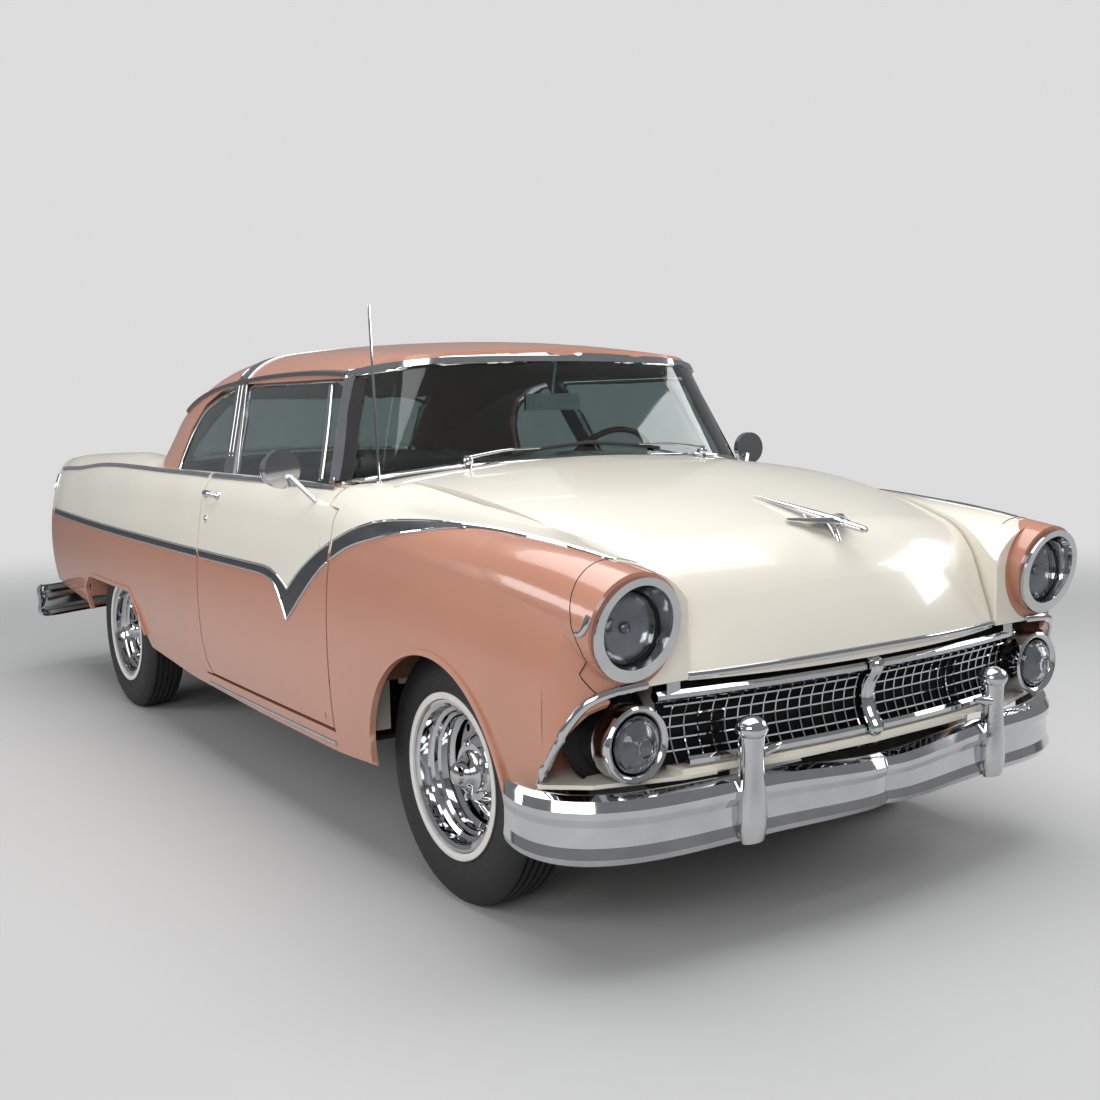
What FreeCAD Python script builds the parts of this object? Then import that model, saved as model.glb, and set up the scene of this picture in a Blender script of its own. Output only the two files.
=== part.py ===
"""Two-door hardtop saloon of the mid 1950s, built as an assembly of panels, glass, brightwork and running gear.

Millimetres. X is across the car, + on its left-hand side. Y runs along it, the nose at - and the tail at +.
Z is up from the floor. The origin is on the floor, under the middle of the car's overall box.
"""
import FreeCAD
import Part
import math
import os

V = FreeCAD.Vector
os.makedirs("parts", exist_ok=True)

# ---------------------------------------------------------------- driving dimensions
FRONT_AXLE_Y = -1738.0
WHEELBASE = 2934.0
REAR_AXLE_Y = FRONT_AXLE_Y + WHEELBASE
TYRE_RADIUS = 348.0
TYRE_WIDTH = 176.0
TREAD_WIDTH = 128.0
RIM_SEAT_RADIUS = 190.0
RIM_FLANGE_RADIUS = 205.0
RIM_WIDTH = 152.0
WHEEL_HOLES = 12
WHEEL_HOLE_CIRCLE = 122.0
WHEEL_HOLE_RADIUS = 11.0
FRONT_WHEEL_X = 757.0          # mid-plane of the front wheels
REAR_WHEEL_X = 742.0
KINGPIN_X = 636.0
AXLE_Z = TYRE_RADIUS

NOSE_Y = -2521.0               # front face of the bumper guards
TAIL_Y = 2521.0                # rear face of the rear bumper guards

PANEL_GAP = 8.0                # shut line between panels
HOOD_REAR_GAP = 9.0            # the same at the hinged edges of hood and lid
FENDER_SKIN = 14.0
DOOR_THICKNESS = 95.0          # whole door, outer skin to trim
QUARTER_THICKNESS = 80.0
LID_THICKNESS = 18.0           # hood and trunk lid with their inner frames
ROOF_THICKNESS = 26.0

DOOR_FRONT_Y = -1186.0
DOOR_REAR_Y = -78.0
DOOR_BOTTOM_Z = 376.0
BELT_Z = 1090.0

HOOD_REAR_Y = -1335.0
COWL_REAR_Y = -1030.0
LID_FRONT_Y = 1160.0

FRONT_ARCH_HALF = 342.0
ARCH_LIP_WIDTH = 16.0
ARCH_LIP_HEIGHT = 5.0          # how far the lip round a wheel opening stands out
FRONT_ARCH_Y = -1776.0
FRONT_ARCH_TOP_Z = 690.0
REAR_ARCH_TOP_Z = 574.0
REAR_ARCH_FRONT_Y = 726.0
REAR_ARCH_REAR_Y = 1592.0

GLASS_THICKNESS = 6.0
GLASS_INSET = 8.0              # side glass behind the outer face of the pillars
CABIN_WALL_X = 806.0           # inner face of the doors and of the walls beside the seats
POST_INNER_X = 760.0
POST_OUTER_X = 804.0
POST_REAR_Y = -1036.0
DOOR_HINGE_X = 912.0
DOOR_HINGE_Y = -1128.0
DOOR_HINGE_HEIGHTS = (520.0, 820.0)
DOOR_PIN_RADIUS = 4.0
LID_PIN_RADIUS = 5.0
PIN_CLEARANCE = 0.05
HINGE_BACK = 100.0             # hood and lid hinge lines, from the lid's edge
HINGE_DROP = 26.0              # and below its top
HINGE_ARM_X = 300.0
HINGE_ARM_WIDTH = 12.0
DOOR_STEP = 16.0               # the inner part of the door is this much smaller all round
DOOR_SKIN = 26.0

HEADLAMP_X = 754.0
HEADLAMP_Z = 827.0
HEADLAMP_FACE_Y = -2414.0
HEADLAMP_RADIUS = 96.0
HEADLAMP_RING_RADIUS = 121.0
HEADLAMP_HOOD = 58.0           # how far the top of the ring stands out past the glass
PARK_LAMP_X = 738.0
PARK_LAMP_Z = 558.0
PARK_LAMP_FACE_Y = -2414.0
PARK_LAMP_RADIUS = 92.0

# left-hand flank: place along the car, then the crown, shoulder, widest and sill points
FLANK_SECTIONS = [
    # y, crown x, crown z, shoulder x, shoulder z, widest x, widest z, sill x, sill z
    (-2400, 758, 958, 860, 868, 884, 716, 878, 470),
    (-2250, 772, 988, 884, 886, 908, 710, 898, 440),
    (-2000, 792, 1012, 898, 910, 922, 700, 905, 400),
    (-1600, 812, 1042, 906, 950, 928, 690, 903, 330),
    (-1186, 850, 1080, 906, 985, 930, 680, 900, 306),
    (-600, 858, 1092, 904, 1000, 930, 680, 898, 310),
    (100, 856, 1092, 898, 1000, 926, 680, 892, 325),
    (800, 840, 1088, 882, 995, 912, 680, 880, 372),
    (1500, 818, 1076, 862, 975, 894, 675, 866, 420),
    (2050, 804, 1056, 842, 950, 872, 680, 846, 452),
    (2330, 788, 1036, 822, 930, 850, 690, 826, 470),
]
FLANK_STATIONS = 29
FENDER_STATIONS = 29
# tube round the headlamp: y, centre x and z, radius
POD_SECTIONS = [(-2470, 754, 826, 130), (-2250, 762, 862, 126), (-2050, 778, 890, 118), (-1900, 785, 905, 110)]
POD_REAR_Y = -1950.0
# front edge of the fender from the side, round the parking lamp: y, z
SURROUND_LINE = [(-2430, 690), (-2368, 634), (-2328, 577), (-2287, 510), (-2262, 455)]
SURROUND_TOP_Z = 684.0
# where the top of the flank ends inboard, off the hood, the side glass and the lid in turn: y, x
FLANK_TOP_EDGE = [(-2400, 540), (-2250, 590), (-2000, 634), (-1600, 664), (-1250, 690), (-1186, 770),
                  (-1030, 806), (500, 806), (700, 780), (800, 700), (1100, 600), (2330, 590)]

# hood and cowl: lengthwise profiles at distances x from the centre line
HOOD_PROFILES = [
    # x, rear z, middle z, nose start (y, z), face top (y, z), lip (y, z)
    (0, 1172, 1084, (-2235, 1014), (-2404, 880), (-2468, 706)),
    (280, 1160, 1078, (-2228, 1006), (-2392, 872), (-2452, 704)),
    (560, 1126, 1056, (-2180, 982), (-2326, 850), (-2394, 692)),
    (760, 1086, 1022, (-2120, 954), (-2262, 822), (-2322, 672)),
]
HOOD_BACK_Y = -1020.0
HOOD_MIDDLE_Y = -1900.0
# plan outline of the hood: y, x
HOOD_EDGE = [(-2560, 562), (-2390, 568), (-2240, 618), (-2027, 664), (-1700, 692), (-1250, 706)]

# rear deck: lengthwise profiles at distances x from the centre line
DECK_PROFILES = [
    # x, front z, middle z, tail start (y, z), face top (y, z), lip (y, z)
    (0, 1134, 1116, (2150, 1062), (2326, 930), (2372, 560)),
    (280, 1130, 1112, (2146, 1058), (2320, 926), (2366, 560)),
    (560, 1114, 1098, (2136, 1048), (2304, 918), (2350, 560)),
    (760, 1096, 1082, (2126, 1040), (2290, 912), (2336, 560)),
]
DECK_BACK_Y = 560.0
DECK_MIDDLE_Y = 1650.0
LID_HALF_WIDTH = 620.0
LID_BOTTOM_Z = 700.0

# roof and side glass: centre, shoulder, drip rail and belt points of each cross section
GREENHOUSE_SECTIONS = [
    # y, centre z, shoulder (x, z), drip rail (x, z), belt (x, z)
    (-1260, 1486, (470, 1452), (640, 1392), (826, 1050)),
    (-1100, 1516, (500, 1490), (672, 1424), (836, 1060)),
    (-900, 1542, (520, 1512), (694, 1438), (840, 1060)),
    (-560, 1562, (530, 1528), (700, 1450), (842, 1060)),
    (0, 1568, (530, 1528), (706, 1432), (842, 1060)),
    (260, 1550, (530, 1504), (716, 1400), (838, 1060)),
    (520, 1488, (520, 1440), (716, 1330), (828, 1060)),
    (760, 1376, (500, 1328), (690, 1230), (792, 1060)),
    (960, 1238, (440, 1204), (600, 1146), (700, 1060)),
    (1090, 1130, (380, 1112), (500, 1090), (590, 1060)),
]
ROOF_THICKNESS = 26.0

# windshield glass: outer face at the base and at the header, from the centre line out
WINDSHIELD_BASE = [(0, -1247, 1157), (470, -1222, 1149), (740, -1130, 1121), (818, -1040, 1092)]
WINDSHIELD_HEAD = [(0, -1143, 1469), (400, -1118, 1461), (620, -1026, 1441), (694, -915, 1425)]

# outlines seen from the side: y, z
DOOR_OUTLINE = [(-1178, 376), (-1186, 560), (-1190, 800), (-1204, 1000), (-1208, 1034), (-1150, 1042),
                (-1144, 1060), (-1142, 1130), (-96, 1130),
                (-84, 900), (-78, 700), (-78, 500), (-96, 420), (-140, 376)]
DOOR_WINDOW = [(-1030, 1060), (-905, 1414), (-112, 1414), (-262, 1060)]
QUARTER_WINDOW = [(-152, 1060), (4, 1404), (96, 1392), (278, 1342), (362, 1260), (392, 1160), (400, 1060)]
PILLAR_LINE = [(-204, 1060), (-50, 1424)]
PILLAR_WIDTH = 92.0

# ---------------------------------------------------------------- drawing helpers


def arc_on_tangent(start, tangent, end):
    """Arc that leaves start along tangent and reaches end, with its direction there."""
    chord = end - start
    direction = V(tangent).normalize()
    angle = direction.getAngle(chord)
    if angle < 1e-4:
        return Part.LineSegment(start, end).toShape(), V(chord).normalize()
    normal = direction.cross(chord).normalize()
    half = FreeCAD.Rotation(normal, math.degrees(angle / 2))
    middle = start + half.multVec(direction) * (chord.Length / 2 / math.cos(angle / 2))
    turned = FreeCAD.Rotation(normal, math.degrees(2 * angle)).multVec(direction)
    return Part.Arc(start, middle, end).toShape(), turned


def smooth_chain(points, tangent):
    """Arcs through points, each leaving along the last one's direction."""
    edges = []
    for start, end in zip(points, points[1:]):
        edge, tangent = arc_on_tangent(start, tangent, end)
        edges.append(edge)
    return edges


def polyline(points):
    """Straight edges from point to point."""
    return [Part.LineSegment(a, b).toShape() for a, b in zip(points, points[1:])]


def wire_of(edges):
    return Part.Wire(Part.__sortEdges__(edges))


def loft(wires):
    return Part.makeLoft(wires, True, False)


def prism(points, along):
    """Solid made by pushing a flat polygon along a vector."""
    closed = points + [points[0]]
    return Part.Face(Part.makePolygon(closed)).extrude(along)


def prism_x(outline, x0, x1):
    return prism([V(x0, y, z) for y, z in outline], V(x1 - x0, 0, 0))


def prism_y(outline, y0, y1):
    return prism([V(x, y0, z) for x, z in outline], V(0, y1 - y0, 0))


def prism_z(outline, z0, z1):
    return prism([V(x, y, z0) for x, y in outline], V(0, 0, z1 - z0))


def box(x0, x1, y0, y1, z0, z1):
    return Part.makeBox(x1 - x0, y1 - y0, z1 - z0, V(x0, y0, z0))


def cylinder(radius, length, start, axis):
    return Part.makeCylinder(radius, length, start, axis)


def mirrored(shape):
    """The same piece on the other side of the car."""
    return shape.mirror(V(0, 0, 0), V(1, 0, 0))


def joined(shapes):
    whole = shapes[0]
    for other in shapes[1:]:
        whole = whole.fuse(other)
    return whole.removeSplitter()


def largest_solids(shape, share=0.02):
    """The pieces of a cut shape that are real, without slivers."""
    solids = sorted(shape.Solids, key=lambda s: s.Volume)
    kept = [s for s in solids if s.Volume > share * solids[-1].Volume]
    return kept[0] if len(kept) == 1 else Part.makeCompound(kept)


def save(name, shape):
    """Writes one node."""
    shape.exportStep("parts/" + name + ".step")


def height_on(shape, x, y):
    """Height of the top of a shape at a place in plan."""
    probe = Part.LineSegment(V(x, y, 0), V(x, y, 2000)).toShape()
    return probe.common(shape).BoundBox.ZMax


def interpolate(table, y):
    """x from a list of (y, x)."""
    rows = sorted(table)
    for (y0, x0), (y1, x1) in zip(rows, rows[1:]):
        if y0 <= y <= y1:
            return x0 + (x1 - x0) * (y - y0) / (y1 - y0)
    return rows[0][1] if y < rows[0][0] else rows[-1][1]


def row_at(rows, y):
    """Section values at any place along the car, between the rows of a table."""
    for before, after in zip(rows, rows[1:]):
        if y <= after[0] + 0.001:
            share = (y - before[0]) / (after[0] - before[0])
            return [a + (b - a) * share for a, b in zip(before[1:], after[1:])]
    return list(rows[-1][1:])


def mirrored_profiles(rows):
    """Rows for both sides of the centre line, from right to left."""
    return [(-row[0],) + tuple(row[1:]) for row in rows[:0:-1]] + list(rows)


def profile_solid(rows, back_y, middle_y, bottom_z, inset):
    """Solid under lengthwise profiles: crown, nose and front face, down to bottom_z."""
    wires = []
    side = -1 if middle_y < 0 else 1
    for x, back_z, middle_z, nose, face, lip in mirrored_profiles(rows):
        back = V(x, back_y, back_z - inset)
        middle = V(x, middle_y, middle_z - inset)
        top = [V(x, y - side * inset * ny, z - inset * nz)
               for (y, z), ny, nz in ((nose, 0.3, 0.9), (face, 0.9, 0.4), (lip, 1.0, 0.0))]
        first = Part.Arc(back, middle, top[0]).toShape()
        tangent = first.tangentAt(first.LastParameter)
        if (top[0] - middle).dot(tangent) < 0:
            tangent = tangent * -1
        edges = [first] + smooth_chain(top, tangent)
        low = [top[-1], V(x, top[-1].y, bottom_z), V(x, back_y, bottom_z), back]
        wires.append(wire_of(edges + polyline(low)))
    return loft(wires)


HOOD_MASS = profile_solid(HOOD_PROFILES, HOOD_BACK_Y, HOOD_MIDDLE_Y, 500, 0)
DECK_MASS = profile_solid(DECK_PROFILES, DECK_BACK_Y, DECK_MIDDLE_Y, 400, 0)


def flank_solid(inset, stations=FLANK_STATIONS):
    """The left-hand side of the body, from sill to crown, shrunk by inset."""
    wires = []
    first_y = FLANK_SECTIONS[0][0]
    last_y = FLANK_SECTIONS[-1][0]
    for station in range(stations):
        y = first_y + (last_y - first_y) * station / (stations - 1)
        cx, cz, sx, sz, wx, wz, lx, lz = row_at(FLANK_SECTIONS, y)
        tx = interpolate(FLANK_TOP_EDGE, y)
        if y < HOOD_BACK_Y:
            tz = height_on(HOOD_MASS, min(tx, 740), max(y, -2360))
        elif y > 650:
            tz = height_on(DECK_MASS, tx, min(y, 2100))
            tz = tz - (0 if y <= 2100 else (y - 2100) * 0.1)
        else:
            tz = 1100
        along = min(max(y, first_y + inset), last_y - inset)
        top = V(tx, along, tz - inset)
        crown = V(cx - 0.5 * inset, along, cz - 0.86 * inset)
        shoulder = V(sx - 0.9 * inset, along, sz - 0.4 * inset)
        widest = V(wx - inset, along, wz)
        drop = 60 if inset else 0
        sill = V(lx - inset, along, lz - drop)
        side = Part.Arc(sill, widest, shoulder).toShape()
        tangent = side.tangentAt(side.LastParameter)
        if tangent.z < 0:
            tangent = tangent * -1
        edges = [side] + smooth_chain([shoulder, crown, top], tangent)
        inner = V(tx - 4 * max(inset, 0), along, top.z)
        ends = [inner] if inset > 0 else []
        wires.append(wire_of(edges + polyline([top] + ends + [V(inner.x, along, sill.z), sill])))
    return loft(wires)


def lamp_pod(inset):
    """Tube that runs from the headlamp back into the fender crown."""
    wires = []
    for y, x, z, radius in POD_SECTIONS:
        circle = Part.Circle(V(x, y, z), V(0, 1, 0), radius - inset)
        wires.append(Part.Wire(circle.toShape()))
    return loft(wires)


def shaped_front(mass, inset):
    """A flank with its front corner rounded, faced like the hood inboard of the lamp, and with the lamp pod."""
    above = box(300, HEADLAMP_X, -2700, POD_REAR_Y, 400, 1400)
    above = above.cut(profile_solid(HOOD_PROFILES, HOOD_BACK_Y, HOOD_MIDDLE_Y, 300, inset))
    start = V(780, -2398 + inset, 300)
    middle = V(868 - 0.7 * inset, -2362 + 0.7 * inset, 300)
    end = V(906 - inset, -2280, 300)
    corner = [Part.Arc(start, middle, end).toShape()]
    corner += polyline([end, V(1200, -2280, 300), V(1200, -2700, 300), V(780, -2700, 300), start])
    corner = Part.Face(wire_of(corner)).extrude(V(0, 0, 1100))
    return mass.cut(above).cut(corner).fuse(lamp_pod(inset))


FLANK = flank_solid(0)
FLANK_INSIDE = flank_solid(FENDER_SKIN)
FENDER_MASS = shaped_front(flank_solid(0, FENDER_STATIONS), 0)
FENDER_INSIDE = shaped_front(flank_solid(FENDER_SKIN, FENDER_STATIONS), FENDER_SKIN)
FLANK_DOOR_INSIDE = flank_solid(DOOR_SKIN)


def greenhouse_solid(inset):
    """Everything inside the roof and the side glass, shrunk by inset."""
    wires = []
    for y, zc, shoulder, drip, belt in GREENHOUSE_SECTIONS:
        last = y == GREENHOUSE_SECTIONS[-1][0]
        along = y - (inset * 1.4 if last else 0)
        top = V(0, along, zc - inset)
        turn = V(shoulder[0] - 0.2 * inset, along, shoulder[1] - 0.98 * inset)
        gutter = V(drip[0] - 0.93 * inset, along, drip[1] - 0.37 * inset)
        base = V(belt[0] - 0.93 * inset, along, belt[1])
        right = []
        first, tangent = arc_on_tangent(top, V(1, 0, 0), turn)
        second, tangent = arc_on_tangent(turn, tangent, gutter)
        right = [first, second] + polyline([gutter, base])
        left = [edge.mirror(V(0, 0, 0), V(1, 0, 0)) for edge in right]
        floor = polyline([base, V(-base.x, along, base.z)])
        wires.append(wire_of(right + left + floor))
    return loft(wires)


GREENHOUSE = greenhouse_solid(0)


def windshield_wire(share, outward, inward):
    """Closed outline of the windshield at a share of its height, between two faces."""
    points = []
    for base, head in zip(WINDSHIELD_BASE, WINDSHIELD_HEAD):
        points.append(V(*base) + (V(*head) - V(*base)) * share)
    lean = [(0, -1), (0.18, -0.98), (0.55, -0.83), (0.85, -0.5)]

    def face(offset):
        moved = [p + V(nx * offset, ny * offset, 0) for p, (nx, ny) in zip(points, lean)]
        slope = (points[-1].z - points[0].z) / (points[-1].y - points[0].y)
        flat = [V(p.x, p.y, points[0].z + slope * (p.y - points[0].y)) for p in moved]
        right = smooth_chain(flat, V(1, 0, 0))
        left = [edge.mirror(V(0, 0, 0), V(1, 0, 0)) for edge in right]
        return right + left, flat[-1]

    outer, outer_end = face(outward)
    inner, inner_end = face(-inward)
    ends = polyline([outer_end, inner_end]) + polyline([V(-outer_end.x, outer_end.y, outer_end.z),
                                                       V(-inner_end.x, inner_end.y, inner_end.z)])
    return wire_of(outer + inner + ends)


def windshield_band(low, high, outward, inward):
    return Part.makeLoft([windshield_wire(low, outward, inward), windshield_wire(high, outward, inward)],
                         True, True)


WINDSHIELD_FRONT = windshield_band(-0.4, 1.3, 420, 4)


def grown_outline(outline, amount):
    """Outline moved outward by amount, about its middle, as a flat face at x = 0."""
    wire = Part.makePolygon([V(0, y, z) for y, z in outline + [outline[0]]])
    face = Part.Face(wire.makeOffset2D(amount, 2))
    return face


def outline_prism(outline, amount, x0, x1):
    face = grown_outline(outline, amount)
    return face.translated(V(x0, 0, 0)).extrude(V(x1 - x0, 0, 0))


def hood_prism(grow):
    right = [(x + grow, y) for y, x in HOOD_EDGE]
    rear = HOOD_REAR_Y + math.copysign(HOOD_REAR_GAP / 2, grow)
    right = right[:-1] + [(interpolate(HOOD_EDGE, HOOD_REAR_Y) + grow, rear)]
    outline = right + [(-x, y) for x, y in reversed(right)]
    return prism_z(outline, 400, 1400)


def lid_prism(grow):
    x = LID_HALF_WIDTH + grow
    y = LID_FRONT_Y - math.copysign(HOOD_REAR_GAP / 2, grow)
    outline = [(x, y), (x, 2600), (-x, 2600), (-x, y)]
    return prism_z(outline, LID_BOTTOM_Z - grow, 1400)


# ---------------------------------------------------------------- hood, lid and their surrounds


def make_hood():
    inner = profile_solid(HOOD_PROFILES, HOOD_BACK_Y, HOOD_MIDDLE_Y, 450, LID_THICKNESS)
    shell = HOOD_MASS.common(hood_prism(-PANEL_GAP / 2)).common(box(-900, 900, -2600, 0, 680, 1400))
    shell = largest_solids(shell.cut(inner))
    arm = lid_hinge(inner, HOOD_HINGE, -1)[0]
    save("hood", joined([shell, arm, mirrored(arm)]))
    ornament = Part.makeCone(6, 30, 230, V(0, -2290, 1030), V(0, 1, 0.1))
    base_z = height_on(HOOD_MASS, 0, -2150)
    stand = box(-9, 9, -2200, -2080, base_z - 40, base_z + 30)
    save("hood_ornament", largest_solids(joined([ornament, stand]).cut(HOOD_MASS)))


def make_lid():
    inner = profile_solid(DECK_PROFILES, DECK_BACK_Y, DECK_MIDDLE_Y, 380, LID_THICKNESS)
    shell = DECK_MASS.cut(inner)
    lid = largest_solids(DECK_MASS.common(lid_prism(-PANEL_GAP / 2)).cut(inner))
    arm, ear = lid_hinge(inner, LID_HINGE, 1)
    save("trunk_lid", joined([lid, arm, mirrored(arm)]))
    around = shell.cut(lid_prism(PANEL_GAP / 2)).cut(FLANK).cut(mirrored(FLANK))
    around = largest_solids(around.common(box(-900, 900, 770, 1500, 900, 1400)))
    save("rear_deck", joined([around, ear, mirrored(ear)]))
    outline = [(-790, 440), (790, 440), (826, 470), (846, 690), (-846, 690), (-826, 470)]
    skirt = shell.common(box(-900, 900, 2000, 2500, 440, LID_BOTTOM_Z - PANEL_GAP))
    panel = joined([prism_y(outline, 2316, 2330), skirt])
    save("tail_panel", largest_solids(panel.cut(FLANK).cut(mirrored(FLANK))))


def hinge_post(grow):
    """Post inside the door's front edge that carries the windshield pillar."""
    lower = box(POST_INNER_X - grow, POST_OUTER_X + grow, -1250 - grow, POST_REAR_Y + grow,
                369.2 - grow, 890 + grow)
    upper = box(POST_INNER_X - grow, POST_OUTER_X + grow, -1150 - grow, POST_REAR_Y + grow,
                880, 1098 + 5 * grow)
    return joined([lower, upper])


def make_cowl():
    inner = profile_solid(HOOD_PROFILES, HOOD_BACK_Y, HOOD_MIDDLE_Y, 450, FENDER_SKIN)
    shell = HOOD_MASS.cut(inner)
    top = shell.common(box(-900, 900, HOOD_REAR_Y + HOOD_REAR_GAP / 2, COWL_REAR_Y, 900, 1400))
    wall = box(-POST_INNER_X, POST_INNER_X, -1250, -1236, 347, 1180).common(HOOD_MASS)
    notch = box(HINGE_ARM_X - 8, HINGE_ARM_X + HINGE_ARM_WIDTH + 16, -1300, -1200, 1000, 1200)
    wall = wall.cut(notch).cut(mirrored(notch))
    ear = lid_hinge(inner, HOOD_HINGE, -1)[1]
    whole = joined([top, wall]).cut(FENDER_MASS).cut(mirrored(FENDER_MASS)).cut(windshield_band(-0.06, 1.0, 16, 30))
    whole = whole.cut(tunnel_prism(12, -1300, -1200))
    post = joined([hinge_post(0)] + door_straps())
    save("cowl", largest_solids(joined([largest_solids(whole), post, mirrored(post), ear, mirrored(ear)])))


# ---------------------------------------------------------------- fenders, doors and quarters


def front_arch(grow):
    """Front wheel opening seen from the side."""
    r = FRONT_ARCH_HALF + grow
    crown = cylinder(r, 500, V(600, FRONT_ARCH_Y, FRONT_ARCH_TOP_Z - FRONT_ARCH_HALF), V(1, 0, 0))
    legs = box(600, 1100, FRONT_ARCH_Y - r, FRONT_ARCH_Y + r, 100, FRONT_ARCH_TOP_Z - FRONT_ARCH_HALF)
    return joined([crown, legs])


def rear_arch(grow):
    outline = [(REAR_ARCH_FRONT_Y - 190, 250), (REAR_ARCH_FRONT_Y - 60, 400), (REAR_ARCH_FRONT_Y, 500),
               (REAR_ARCH_FRONT_Y + 90, REAR_ARCH_TOP_Z), (REAR_ARCH_REAR_Y - 110, REAR_ARCH_TOP_Z),
               (REAR_ARCH_REAR_Y, 510), (REAR_ARCH_REAR_Y - 30, 430), (REAR_ARCH_REAR_Y - 140, 250)]
    return outline_prism(outline, grow, 650, 1100)


def make_fender():
    skin = FENDER_MASS.cut(FENDER_INSIDE).cut(hood_prism(PANEL_GAP / 2))
    skin = skin.cut(outline_prism(DOOR_OUTLINE, PANEL_GAP / 2, 700, 1000))
    skin = skin.cut(box(0, 1100, DOOR_FRONT_Y + 34, 3000, 0, 1400))
    skin = skin.cut(box(0, 1100, DOOR_FRONT_Y, 3000, 0, DOOR_BOTTOM_Z))
    skin = skin.cut(front_arch(0)).cut(box(0, 800, -2700, -2262, 0, SURROUND_TOP_Z))
    ahead = [(-2700, 690)] + SURROUND_LINE + [(-2262, 100), (-2700, 100)]
    skin = skin.cut(prism_x(ahead, 500, 1100))
    lamp = cylinder(HEADLAMP_RADIUS + 4, 200, V(HEADLAMP_X, -2500, HEADLAMP_Z), V(0, 1, 0))
    seat = cylinder(HEADLAMP_RING_RADIUS + 4, 10, V(HEADLAMP_X, -2400, HEADLAMP_Z), V(0, 1, 0))
    skin = largest_solids(skin).fuse(seat)
    skin = skin.cut(cylinder(HEADLAMP_RING_RADIUS + 0.2, 200, V(HEADLAMP_X, -2600, HEADLAMP_Z), V(0, 1, 0)))
    slant = [(-2700, 1100), (-2474, 1100), (-2452, 960), (-2410, 690), (-2400, 620), (-2700, 620)]
    skin = skin.cut(prism_x(slant, 600, 900).common(cylinder(140, 400, V(HEADLAMP_X, -2700, HEADLAMP_Z), V(0, 1, 0))))
    splash = box(596, 1000, -2196, -2184, 452, 900).common(FENDER_INSIDE)
    under_hood = profile_solid(HOOD_PROFILES, HOOD_BACK_Y, HOOD_MIDDLE_Y, 450, LID_THICKNESS + 6)
    apron = box(596, 610, -2344, -1262, 520, 960).common(under_hood)
    wall = box(596, 920, -1262, -1250, 520, 960).common(FENDER_INSIDE.fuse(box(596, 760, -1262, -1250, 520, 960)))
    lip = front_arch(ARCH_LIP_WIDTH).cut(front_arch(0)).common(box(600, 1100, -2200, -1300, 330, 800))
    lip = lip.common(flank_solid(-ARCH_LIP_HEIGHT, FENDER_STATIONS)).cut(FENDER_INSIDE)
    piece = joined([largest_solids(skin.cut(lamp)), apron, wall, splash, lip])
    piece = piece.cut(cylinder(404, 60, V(580, FRONT_AXLE_Y, AXLE_Z), V(1, 0, 0)))
    save("front_fender_left", piece)
    save("front_fender_right", mirrored(piece))
    return piece


def make_door():
    shell = FLANK.cut(FLANK_DOOR_INSIDE).common(outline_prism(DOOR_OUTLINE, -PANEL_GAP / 2, POST_OUTER_X + PANEL_GAP, 1000))
    core = FLANK.common(outline_prism(DOOR_OUTLINE, -PANEL_GAP / 2 - DOOR_STEP, CABIN_WALL_X, 1000))
    core = core.common(box(0, 1100, DOOR_HINGE_Y - 15, 0, 0, 1400))
    door = joined([shell, core]).cut(hinge_post(PANEL_GAP))
    door = door.cut(box(POST_INNER_X, 832, -1200, POST_REAR_Y + PANEL_GAP, 1086, 1200))
    skin = flank_solid(4)
    for z in DOOR_HINGE_HEIGHTS:
        pocket = cylinder(DOOR_HINGE_X - POST_OUTER_X + 20, 18, V(DOOR_HINGE_X, DOOR_HINGE_Y, z - 5), V(0, 0, 1))
        door = door.cut(pocket.common(skin))
        lug = cylinder(DOOR_PIN_RADIUS + 4, 20, V(DOOR_HINGE_X, DOOR_HINGE_Y, z + 12), V(0, 0, 1))
        door = door.fuse(lug)
    bore = cylinder(DOOR_PIN_RADIUS + PIN_CLEARANCE, 1000, V(DOOR_HINGE_X, DOOR_HINGE_Y, 400), V(0, 0, 1))
    return largest_solids(door.cut(bore))


def door_straps():
    """Hinge straps and pins on the post, for the left-hand door."""
    pieces = []
    for z in DOOR_HINGE_HEIGHTS:
        x, y = DOOR_HINGE_X, DOOR_HINGE_Y
        pieces.append(prism_z([(POST_OUTER_X - 8, y - 12), (POST_OUTER_X - 8, y + 12), (x, y + 6), (x, y - 6)], z, z + 8))
        pieces.append(cylinder(DOOR_PIN_RADIUS + 1, 8, V(x, y, z), V(0, 0, 1)))
        pieces.append(cylinder(DOOR_PIN_RADIUS, 36, V(x, y, z), V(0, 0, 1)))
    return pieces


def lid_hinge(under, pivot, hand):
    """Gooseneck arm of a lid and the bracket it turns on, at a (y, z) pivot; hand is the lid's side of it."""
    y, z = pivot
    neck = [(-9, 3), (32, -108), (150, -104), (176, 70), (142, 70), (128, -84), (50, -84), (9, 5)]
    ear = [(-34, 60), (-12, -12), (12, -12), (34, 60)]
    x = HINGE_ARM_X
    wide = HINGE_ARM_WIDTH
    arm = prism_x([(y + hand * u, z + w) for u, w in neck], x, x + wide)
    arm = arm.common(under)
    arm = arm.fuse(cylinder(LID_PIN_RADIUS + 5, wide, V(x, y, z), V(1, 0, 0)))
    arm = arm.cut(cylinder(LID_PIN_RADIUS + PIN_CLEARANCE, wide, V(x, y, z), V(1, 0, 0)))
    bracket = prism_x([(y + hand * u, z + w) for u, w in ear], x + wide + 2, x + wide + 8).common(under)
    bracket = bracket.fuse(cylinder(LID_PIN_RADIUS, wide + 6, V(x - 2, y, z), V(1, 0, 0)))
    return arm, bracket


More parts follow.
